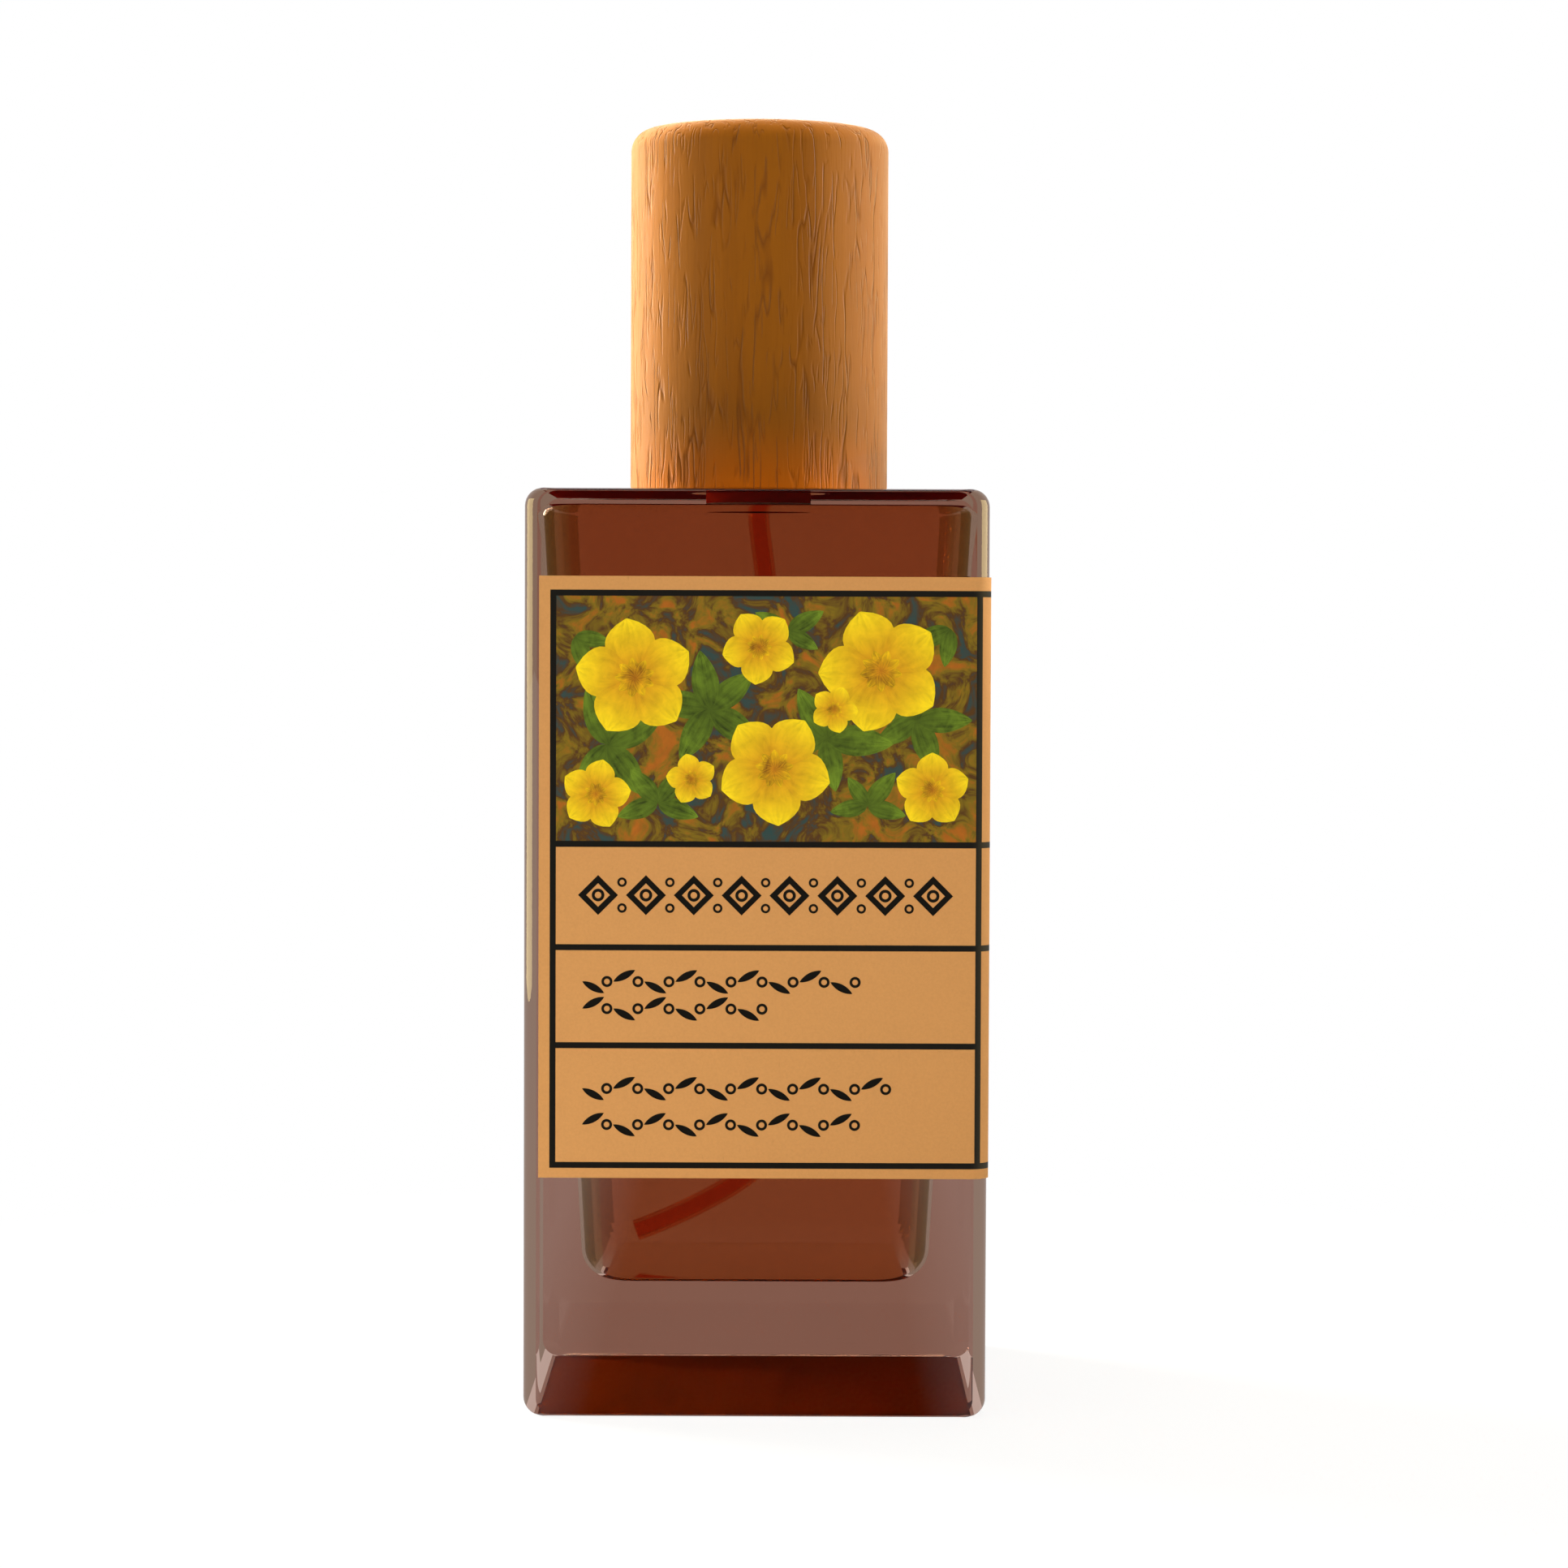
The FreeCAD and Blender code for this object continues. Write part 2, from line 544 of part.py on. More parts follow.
def draw_tube_route(sketch):
    """Straight out of the tail, leaning to one side, then round the low bend to the tip."""
    drop, entered, turned, low, tip, lean, low_heading, tip_heading = tube_route()
    first, main, last = (value(f"dims.tube_{name}_bend") for name in ("entry", "main", "end"))
    up = Vector(0, 0, 1)
    top = Vector(0, value("levels.tube_top"), 0)
    entry_centre = Vector(first, drop.y, 0)
    main_centre = turned - Vector(math.cos(lean), math.sin(lean), 0) * main
    end_centre = low - Vector(math.cos(low_heading), math.sin(low_heading), 0) * last
    half_turn = math.pi
    sketch.addGeometry([
        Part.LineSegment(top, drop),
        Part.ArcOfCircle(Part.Circle(entry_centre, up, first), half_turn, half_turn + lean),
        Part.LineSegment(entered, turned),
        Part.ArcOfCircle(Part.Circle(main_centre, up, main), low_heading, lean),
        Part.ArcOfCircle(Part.Circle(end_centre, up, last), tip_heading, low_heading),
    ], False)
    for joint in (
        Sketcher.Constraint("Vertical", 0),
        Sketcher.Constraint("Tangent", 0, 2, 1, 1),
        Sketcher.Constraint("Tangent", 1, 2, 2, 1),
        Sketcher.Constraint("Tangent", 2, 2, 3, 2),
        Sketcher.Constraint("Tangent", 3, 1, 4, 2),
    ):
        sketch.addConstraint(joint)
    place(sketch, 0, 1, "0", "levels.tube_top")
    bind(sketch, Sketcher.Constraint("DistanceY", -1, 1, 0, 2, drop.y), "levels.tail_bottom - dims.tube_lead")
    for arc, name in ((1, "entry"), (3, "main"), (4, "end")):
        rule = f"dims.tube_{name}_bend"
        bind(sketch, Sketcher.Constraint("Radius", arc, value(rule)), rule)
    bind(sketch, Sketcher.Constraint("Angle", 4, low_heading - tip_heading), "dims.tube_end_turn")
    place(sketch, 4, 1, "dims.tip_side_gap - levels.low_half_width", "levels.cavity_floor + dims.tip_rise")
    hang = "dims.tube_end_bend * cos(dims.tube_end_slope)"
    bind(sketch, Sketcher.Constraint("DistanceY", 4, 1, 4, 3, value(hang)), hang)


def sweep_tube(name, radii):
    """The dip tube's route swept with one circle for each radius given."""
    body = new_body(name)
    route = new_sketch(body, f"{name}_route", "XZ_Plane")
    draw_tube_route(route)
    section = new_sketch(body, f"{name}_section", "XY_Plane", along="levels.tube_top")
    for radius in radii:
        draw_circle(section, radius)
    pipe = body.newObject("PartDesign::AdditivePipe", f"{name}_pipe")
    pipe.Profile = section
    pipe.Spine = route
    doc.recompute()
    return body


def make_fragrance_fill():
    liquid = new_body("fill_block")
    hollow(liquid, "PartDesign::AdditiveLoft", (
        ("levels.fill_level", "levels.fill_top_half_width", "levels.fill_top_half_depth",
         "dims.cavity_corner"),
        ("levels.fill_floor", "levels.fill_low_half_width", "levels.fill_low_half_depth",
         "dims.cavity_corner"),
    ))
    round_edges(liquid, loop(liquid, "levels.fill_floor", "0"), "dims.floor_round")
    round_edges(liquid, loop(liquid, "levels.fill_level", "0"), "dims.ceiling_round")
    room = sweep_tube("tube_room", ["dims.tube_radius + dims.fill_clearance"])
    fill = doc.addObject("Part::Cut", "fragrance_fill")
    fill.Label = "fragrance_fill"
    fill.Base = liquid
    fill.Tool = room
    doc.recompute()
    return fill


def make_wrap_label():
    """A strip of paper on the front, round the right-hand corner and along the right side."""
    body = new_body("wrap_label")
    plan = new_sketch(body, "label_plan", "XY_Plane", along="dims.label_bottom")
    left = "dims.label_margin - levels.half_width"
    front = "-(levels.half_depth + dims.label_glue)"
    centre_x, centre_y = "levels.half_width - dims.edge_round", "dims.edge_round - levels.half_depth"
    bend = "dims.edge_round + dims.label_glue"
    back = "levels.half_depth - dims.label_margin"
    start = Vector(value(left), value(front), 0)
    middle = Vector(value(centre_x), value(centre_y), 0)
    inner, paper, end = value(bend), value("dims.label_paper"), value(back)
    outer = inner + paper
    quarter = math.pi / 2
    plan.addGeometry([
        Part.LineSegment(start, Vector(middle.x, start.y, 0)),
        Part.ArcOfCircle(Part.Circle(middle, Vector(0, 0, 1), inner), -quarter, 0),
        Part.LineSegment(Vector(middle.x + inner, middle.y, 0), Vector(middle.x + inner, end, 0)),
        Part.LineSegment(Vector(middle.x + inner, end, 0), Vector(middle.x + outer, end, 0)),
        Part.LineSegment(Vector(middle.x + outer, end, 0), Vector(middle.x + outer, middle.y, 0)),
        Part.ArcOfCircle(Part.Circle(middle, Vector(0, 0, 1), outer), -quarter, 0),
        Part.LineSegment(Vector(middle.x, start.y - paper, 0), Vector(start.x, start.y - paper, 0)),
        Part.LineSegment(Vector(start.x, start.y - paper, 0), start),
    ], False)
    for joint in (
        Sketcher.Constraint("Tangent", 0, 2, 1, 1),
        Sketcher.Constraint("Tangent", 1, 2, 2, 1),
        Sketcher.Constraint("Coincident", 2, 2, 3, 1),
        Sketcher.Constraint("Coincident", 3, 2, 4, 1),
        Sketcher.Constraint("Tangent", 4, 2, 5, 2),
        Sketcher.Constraint("Tangent", 5, 1, 6, 1),
        Sketcher.Constraint("Coincident", 6, 2, 7, 1),
        Sketcher.Constraint("Coincident", 7, 2, 0, 1),
        Sketcher.Constraint("Coincident", 1, 3, 5, 3),
        Sketcher.Constraint("Vertical", 2),
        Sketcher.Constraint("Horizontal", 3),
        Sketcher.Constraint("Vertical", 4),
        Sketcher.Constraint("Horizontal", 6),
        Sketcher.Constraint("Vertical", 7),
    ):
        plan.addConstraint(joint)
    place(plan, 0, 1, left, front)
    place(plan, 1, 3, centre_x, centre_y)
    bind(plan, Sketcher.Constraint("Radius", 1, inner), bend)
    bind(plan, Sketcher.Constraint("DistanceY", -1, 1, 2, 2, end), back)
    bind(plan, Sketcher.Constraint("DistanceX", 3, 1, 3, 2, paper), "dims.label_paper")
    extrude(body, "PartDesign::Pad", plan, "dims.label_height")
    return body


# Crimp and pump


def make_neck_gasket():
    body = new_body("neck_gasket")
    turn(body, (
        ("dims.bore_radius", "levels.neck_top"),
        ("dims.bead_radius - dims.gasket_inset", "levels.neck_top"),
        ("dims.bead_radius - dims.gasket_inset", "levels.flange_bottom"),
        ("dims.bore_radius", "levels.flange_bottom"),
    ))
    return body


def make_pump_housing():
    body = new_body("pump_housing")
    turn(body, (
        ("levels.socket_radius", "levels.flange_top"),
        ("dims.bead_radius - dims.flange_inset", "levels.flange_top"),
        ("dims.bead_radius - dims.flange_inset", "levels.flange_bottom"),
        ("levels.housing_radius", "levels.flange_bottom"),
        ("levels.housing_radius", "levels.cone_top"),
        ("levels.tail_radius", "levels.tail_top"),
        ("levels.tail_radius", "levels.tail_bottom"),
        ("levels.tube_socket", "levels.tail_bottom"),
        ("levels.tube_socket", "levels.tube_top"),
        ("dims.inlet_radius", "levels.tube_top"),
        ("dims.inlet_radius", "levels.seat_bottom"),
        ("dims.cage_radius", "levels.seat_top"),
        ("dims.cage_radius", "levels.spring_seat"),
        ("dims.chamber_radius", "levels.spring_seat"),
        ("dims.chamber_radius", "levels.socket_floor"),
        ("levels.socket_radius", "levels.socket_floor"),
    ))
    spokes(body, "ball_nib", "levels.spring_seat - dims.nib_height", "dims.cage_radius - dims.nib_reach",
           "dims.cage_radius + dims.nib_width / 2", "dims.nib_width", "dims.nib_height", "dims.nib_count")
    vent = new_sketch(body, "air_vent", "YZ_Plane", along="levels.housing_radius")
    draw_circle(vent, "dims.vent_radius", up="levels.flange_bottom - dims.vent_drop")
    extrude(body, "PartDesign::Pocket", vent, "levels.housing_radius - dims.chamber_radius / 2")
    return body


def make_stem_turret():
    body = new_body("stem_turret")
    turn(body, (
        ("levels.piston_bore", "levels.turret_top"),
        ("levels.turret_radius", "levels.turret_top"),
        ("levels.turret_radius", "levels.ferrule_under"),
        ("levels.turret_radius + dims.turret_rim", "levels.ferrule_under"),
        ("levels.turret_radius + dims.turret_rim", "levels.flange_top"),
        ("levels.turret_radius", "levels.flange_top"),
        ("levels.turret_radius", "levels.socket_floor"),
        ("levels.turret_inner", "levels.socket_floor"),
        ("levels.turret_inner", "levels.turret_under"),
        ("levels.piston_bore", "levels.turret_under"),
    ))
    round_edges(body, rim(body, "levels.turret_radius", "levels.turret_top"), "dims.turret_round")
    return body


def make_crimp_ferrule():
    body = new_body("crimp_ferrule")
    hole = "levels.turret_radius + dims.ferrule_hole_gap"
    turn(body, (
        (hole, "levels.ferrule_top"),
        ("levels.ferrule_outer", "levels.ferrule_top"),
        ("levels.ferrule_outer", "levels.bead_bottom"),
        ("levels.ferrule_outer - dims.crimp_turn", "levels.crimp_bottom"),
        ("levels.ferrule_inner - dims.crimp_turn", "levels.crimp_bottom"),
        ("levels.ferrule_inner", "levels.bead_bottom"),
        ("levels.ferrule_inner", "levels.ferrule_under"),
        (hole, "levels.ferrule_under"),
    ))
    round_edges(body, rim(body, "levels.ferrule_outer", "levels.ferrule_top"), "dims.ferrule_round")
    return body


def make_ferrule_collar():
    body = new_body("ferrule_collar")
    turn(body, (
        ("levels.collar_lip_radius", "levels.collar_top"),
        ("levels.collar_outer", "levels.collar_top"),
        ("levels.collar_outer", "levels.collar_bottom"),
        ("levels.collar_inner", "levels.collar_bottom"),
        ("levels.collar_inner", "levels.ferrule_top"),
        ("levels.collar_lip_radius", "levels.ferrule_top"),
    ))
    round_edges(body, rim(body, "levels.collar_outer", "levels.collar_top"), "dims.collar_round")
    return body


def make_pump_stem():
    body = new_body("pump_stem")
    turn(body, (
        ("0", "levels.foot_bottom"),
        ("levels.foot_radius", "levels.foot_bottom"),
        ("levels.foot_radius", "levels.piston_bottom"),
        ("dims.stem_radius", "levels.piston_bottom"),
        ("dims.stem_radius", "levels.stem_collar_bottom"),
        ("levels.stem_collar_radius", "levels.stem_collar_bottom"),
        ("levels.stem_collar_radius", "levels.stem_collar_top"),
        ("dims.stem_radius", "levels.stem_collar_top"),
        ("dims.stem_radius", "levels.stem_top"),
        ("dims.stem_bore", "levels.stem_top"),
        ("dims.stem_bore", "levels.piston_middle - dims.port_radius"),
        ("0", "levels.piston_middle - dims.port_radius"),
    ))
    port = new_sketch(body, "stem_port", "YZ_Plane")
    draw_circle(port, "dims.port_radius", up="levels.piston_middle")
    drilled = extrude(body, "PartDesign::Pocket", port, "3 * dims.stem_radius")
    drilled.Midplane = True
    doc.recompute()
    mouth = rim(body, "dims.stem_radius", "levels.stem_top")
    dress(body, "PartDesign::Chamfer", "Size", mouth, "dims.stem_lead")
    return body


def make_pump_piston():
    body = new_body("pump_piston")
    waist = "levels.piston_radius - dims.piston_lip_relief"
    turn(body, (
        ("levels.piston_bore", "levels.piston_bottom"),
        ("levels.piston_hub", "levels.piston_bottom"),
        ("levels.piston_hub", "levels.piston_middle - dims.piston_web / 2"),
        ("levels.piston_ring", "levels.piston_middle - dims.piston_web / 2"),
        ("levels.piston_ring", "levels.piston_bottom"),
        ("levels.piston_radius", "levels.piston_bottom"),
        (waist, "levels.piston_bottom + dims.piston_lip_height"),
        (waist, "levels.piston_top - dims.piston_lip_height"),
        ("levels.piston_radius", "levels.piston_top"),
        ("levels.piston_ring", "levels.piston_top"),
        ("levels.piston_ring", "levels.piston_middle + dims.piston_web / 2"),
        ("levels.piston_hub", "levels.piston_middle + dims.piston_web / 2"),
        ("levels.piston_hub", "levels.piston_top"),
        ("levels.piston_bore", "levels.piston_top"),
    ))
    return body


def tangent_arc(start, heading, end):
    """The arc from start to end that leaves start along heading."""
    chord = end - start
    inward = chord - heading * chord.dot(heading)
    inward.normalize()
    radius = chord.dot(chord) / (2 * chord.dot(inward))
    centre = start + inward * radius
    outward = (start - centre) + (end - centre)
    outward.normalize()
    return Part.Arc(start, centre + outward * radius, end).toShape()


def biarc(start, heading, end, end_heading):
    """Two arcs that meet smoothly and keep the given directions at both ends."""
    chord = end - start
    both = heading + end_heading
    spread = 2 * (1 - heading.dot(end_heading))
    along = chord.dot(both)
    reach = (math.sqrt(along * along + spread * chord.dot(chord)) - along) / spread
    middle = (start + heading * reach + end - end_heading * reach) * 0.5
    second = tangent_arc(end, end_heading * -1, middle)
    second.reverse()
    return [tangent_arc(start, heading, middle), second]


STEPS_PER_TURN = 4
SAMPLES_PER_TURN = 48


def make_spring(name, prefix, lower, upper):
    """An open coil of round wire between two seats, wound upwards."""
    wire, radius = value(f"dims.{prefix}_wire"), value(f"levels.{prefix}_radius")
    turns = int(round(value(f"dims.{prefix}_turns")))
    margin = wire / 2 + value("dims.spring_seat_gap")
    bottom, top = value(lower) + margin, value(upper) - margin
    rise = (top - bottom) / turns

    def spot(share):
        angle = 2 * math.pi * share
        return Vector(radius * math.cos(angle), radius * math.sin(angle), bottom + rise * share)

    def heading(share):
        angle = 2 * math.pi * share
        way = Vector(-radius * math.sin(angle), radius * math.cos(angle), rise / (2 * math.pi))
        return way.normalize()

    edges = []
    for step in range(turns * STEPS_PER_TURN):
        here, there = step / STEPS_PER_TURN, (step + 1) / STEPS_PER_TURN
        edges += biarc(spot(here), heading(here), spot(there), heading(there))
    path = Part.Wire(edges)
    section = Part.Wire([Part.Circle(spot(0), heading(0), wire / 2).toShape()])
    spring = doc.addObject("Part::Feature", name)
    spring.Label = name
    spring.Shape = path.makePipeShell([section], True, False)
    spring.Placement = FreeCAD.Placement()
    points = [spot(n / SAMPLES_PER_TURN) for n in range(turns * SAMPLES_PER_TURN + 1)]
    apart = SAMPLES_PER_TURN // 2
    least = min(
        (points[one] - points[two]).Length
        for one in range(len(points))
        for two in range(one + apart, len(points))
    )
    expected = math.pi * wire * wire / 4 * path.Length
    print(f"{name}: least gap {least - wire:.2f} mm, volume over section times length "
          f"{spring.Shape.Volume / expected:.4f}")
    return spring


def make_check_ball():
    ball = doc.addObject("Part::Sphere", "check_ball")
    ball.Label = "check_ball"
    ball.setExpression("Radius", "dims.ball_radius")
    ball.setExpression("Placement.Base.z", "levels.ball_centre")
    doc.recompute()
    return ball


# Spray head


def make_actuator_core():
    body = new_body("actuator_core")
    turn(body, (
        ("0", "levels.hub_bottom"),
        ("dims.hub_radius", "levels.hub_bottom"),
        ("dims.hub_radius", "levels.core_ceiling"),
        ("levels.core_inner", "levels.core_ceiling"),
        ("levels.core_inner", "levels.core_bottom"),
        ("levels.core_radius", "levels.core_bottom"),
        ("levels.core_radius", "levels.core_top"),
        ("0", "levels.core_top"),
    ))
    spokes(body, "core_rib", "levels.core_ceiling - dims.core_rib_depth",
           "dims.hub_radius - dims.core_rib_width / 2", "levels.core_inner + dims.core_wall / 3",
           "dims.core_rib_width", "dims.core_rib_depth + dims.core_roof / 2", "dims.core_rib_count")
    boss = new_sketch(body, "nozzle_boss", "XZ_Plane")
    draw_circle(boss, "dims.nozzle_radius + dims.boss_wall", up="levels.nozzle_level")
    extrude(body, "PartDesign::Pad", boss, "levels.core_inner + dims.core_wall / 3")
    stem = new_sketch(body, "stem_socket", "XY_Plane", along="levels.hub_bottom")
    draw_circle(stem, "dims.stem_radius + dims.hub_fit")
    extrude(body, "PartDesign::Pocket", stem, "dims.hub_grip", True)
    feed = new_sketch(body, "feed_bore", "XY_Plane", along="levels.hub_bottom")
    draw_circle(feed, "dims.stem_bore")
    rise = "levels.nozzle_level + dims.stem_bore - levels.hub_bottom"
    extrude(body, "PartDesign::Pocket", feed, rise, True)
    seat = new_sketch(body, "nozzle_seat", "XZ_Plane", along="levels.nozzle_front")
    draw_circle(seat, "dims.nozzle_radius + dims.nozzle_fit", up="levels.nozzle_level")
    extrude(body, "PartDesign::Pocket", seat, "dims.nozzle_length + dims.nozzle_fit")
    branch = new_sketch(body, "feed_branch", "XZ_Plane", along="levels.nozzle_front")
    draw_circle(branch, "dims.feed_radius", up="levels.nozzle_level")
    extrude(body, "PartDesign::Pocket", branch, "levels.nozzle_front")
    return body


def make_actuator_shell():
    body = new_body("actuator_shell")
    turn(body, (
        ("0", "levels.head_top - dims.dish_depth"),
        ("levels.dish_radius / 2", "levels.head_top - dims.dish_depth * 3 / 4"),
        ("levels.dish_radius", "levels.head_top"),
        ("dims.head_radius", "levels.head_top"),
        ("dims.head_radius", "levels.head_bottom"),
        ("levels.head_inner", "levels.head_bottom"),
        ("levels.head_inner", "levels.head_under"),
        ("levels.dish_radius", "levels.head_under"),
        ("levels.dish_radius / 2", "levels.head_under - dims.dish_depth * 3 / 4"),
        ("0", "levels.head_under - dims.dish_depth"),
    ))
    round_edges(body, rim(body, "dims.head_radius", "levels.head_top"), "dims.head_round")
    window = new_sketch(body, "nozzle_window", "XZ_Plane", along="levels.nozzle_front")
    draw_circle(window, "dims.nozzle_radius + dims.window_gap", up="levels.nozzle_level")
    extrude(body, "PartDesign::Pocket", window, "dims.nozzle_length")
    return body


def make_nozzle_insert():
    """A small cup that points to the front, turned about its own axis."""
    body = new_body("nozzle_insert")
    bore = "dims.nozzle_radius - dims.nozzle_side"
    sketch = new_sketch(body, "nozzle_profile", "YZ_Plane", up="levels.nozzle_level")
    draw_outline(sketch, (
        ("-levels.nozzle_front", "dims.orifice_flare"),
        ("-levels.nozzle_front", "dims.nozzle_radius"),
        ("-levels.nozzle_back", "dims.nozzle_radius"),
        ("-levels.nozzle_back", bore),
        ("dims.nozzle_wall - levels.nozzle_front", bore),
        ("dims.nozzle_wall - levels.nozzle_front", "dims.orifice_radius"),
        ("dims.orifice_depth - levels.nozzle_front", "dims.orifice_radius"),
    ))
    feature = body.newObject("PartDesign::Revolution", "nozzle_turned")
    feature.Profile = sketch
    feature.ReferenceAxis = (sketch, ["H_Axis"])
    feature.Angle = 360
    doc.recompute()
    return body


# Cap


def make_cap_shell():
    body = new_body("cap_shell")
    turn(body, (
        ("0", "levels.cap_top"),
        ("levels.cap_radius", "levels.cap_top"),
        ("levels.cap_radius", "levels.cap_bottom"),
        ("levels.cap_bore", "levels.cap_bottom"),
        ("levels.cap_bore", "levels.cap_ceiling"),
        ("0", "levels.cap_ceiling"),
    ))
    round_edges(body, rim(body, "levels.cap_radius", "levels.cap_top"), "dims.cap_round")
    foot = rim(body, "levels.cap_radius", "levels.cap_bottom")
    foot += rim(body, "levels.cap_bore", "levels.cap_bottom")
    round_edges(body, foot, "dims.cap_foot_round")
    return body


def make_cap_liner():
    body = new_body("cap_liner")
    turn(body, (
        ("0", "levels.liner_top"),
        ("levels.liner_outer", "levels.liner_top"),
        ("levels.liner_outer", "levels.liner_bottom"),
        ("levels.liner_inner", "levels.liner_bottom"),
        ("levels.liner_inner", "levels.liner_under"),
        ("0", "levels.liner_under"),
    ))
    spokes(body, "grip_rib", "levels.liner_bottom + dims.rib_lead", "levels.rib_tip",
           "levels.liner_inner + dims.liner_wall / 2", "dims.rib_width", "dims.rib_length", "dims.rib_count")
    return body


PIECES = (
    make_glass_bottle(),
    make_fragrance_fill(),
    make_wrap_label(),
    sweep_tube("dip_tube", ["dims.tube_radius", "dims.tube_bore"]),
    make_neck_gasket(),
    make_pump_housing(),
    make_stem_turret(),
    make_crimp_ferrule(),
    make_ferrule_collar(),
    make_pump_stem(),
    make_pump_piston(),
    make_spring("return_spring", "spring", "levels.spring_seat", "levels.foot_bottom"),
    make_spring("prime_spring", "prime", "levels.piston_top", "levels.stem_collar_bottom"),
    make_check_ball(),
    make_actuator_core(),
    make_actuator_shell(),
    make_nozzle_insert(),
    make_cap_shell(),
    make_cap_liner(),
)

doc.recompute()
failed = [thing.Name for thing in doc.Objects if {"Invalid", "Error"} & set(thing.State)]
if failed:
    raise RuntimeError(f"these objects failed: {failed}")
for piece in PIECES:
    if piece.Shape.isNull() or not piece.Shape.isValid() or not piece.Shape.Solids:
        raise RuntimeError(f"{piece.Label} has no sound solid")

os.makedirs("parts", exist_ok=True)
for piece in PIECES:
    piece.Shape.exportStep(f"parts/{piece.Label}.step")
    print(f"{piece.Label}: {len(piece.Shape.Solids)} solid, {piece.Shape.Volume:.2f} mm3")
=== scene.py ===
import math

import bmesh
import bpy
from bpy.props import FloatProperty, FloatVectorProperty, IntProperty, PointerProperty
from mathutils import Matrix, Vector


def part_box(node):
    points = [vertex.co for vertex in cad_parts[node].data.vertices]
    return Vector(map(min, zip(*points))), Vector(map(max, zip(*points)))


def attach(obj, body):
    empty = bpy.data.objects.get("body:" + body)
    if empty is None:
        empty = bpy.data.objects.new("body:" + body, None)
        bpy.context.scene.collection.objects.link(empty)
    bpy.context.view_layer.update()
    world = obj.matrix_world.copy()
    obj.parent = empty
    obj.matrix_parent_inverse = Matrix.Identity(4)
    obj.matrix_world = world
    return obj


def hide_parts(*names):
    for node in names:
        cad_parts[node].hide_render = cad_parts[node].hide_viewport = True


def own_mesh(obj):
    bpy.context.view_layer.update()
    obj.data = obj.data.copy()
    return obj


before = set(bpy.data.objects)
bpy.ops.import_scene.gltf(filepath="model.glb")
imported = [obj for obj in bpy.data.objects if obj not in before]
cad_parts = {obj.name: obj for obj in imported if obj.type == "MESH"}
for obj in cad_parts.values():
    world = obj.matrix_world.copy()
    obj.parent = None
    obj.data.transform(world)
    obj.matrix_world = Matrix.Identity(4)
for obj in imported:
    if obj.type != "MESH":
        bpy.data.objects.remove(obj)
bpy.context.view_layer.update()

bl_info = {
    "name": "Spray Bottle Looks",
    "version": (1, 0, 0),
    "blender": (4, 5, 0),
    "location": "View3D > Sidebar > Spray Bottle",
    "description": "Dresses the solids of a square glass spray bottle with a wooden cap",
    "category": "Object",
}

MM = 0.001
GLASS_LOW, GLASS_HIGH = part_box("glass_bottle")
LABEL_LOW, LABEL_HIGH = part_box("wrap_label")
CAP_LOW, CAP_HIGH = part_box("cap_shell")
LINER_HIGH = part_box("cap_liner")[1]
FILL_LOW, FILL_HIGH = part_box("fragrance_fill")

# Play between two solids, corners that count as one place, and corners that are merged
SLACK = 0.05 * MM
SAME = 0.001 * MM
MERGE = 0.0001 * MM
SHOULDER = CAP_LOW.z - SLACK

# Index of bare glass, and the steps from the liquid to glass and tube
GLASS_INDEX = 1.5
WET_STEP = 1.07
TUBE_STEP = 1.08
FLOOR_DROP = 0.02 * MM


def amount(name, description, default, **more):
    return FloatProperty(name=name, description=description, default=default, **more)


def length(name, description, default):
    return amount(name, description, default, unit="LENGTH", precision=5)


def power(name, description, default):
    return amount(name, description, default, unit="POWER")


def angle(name, description, degrees):
    return amount(name, description, math.radians(degrees), subtype="ANGLE")


def number(name, description, default, least=1):
    return IntProperty(name=name, description=description, default=default, min=least)


def colour(name, description, default):
    return FloatVectorProperty(
        name=name, description=description, default=default, subtype="COLOR", size=3, min=0, max=1
    )


# Settings


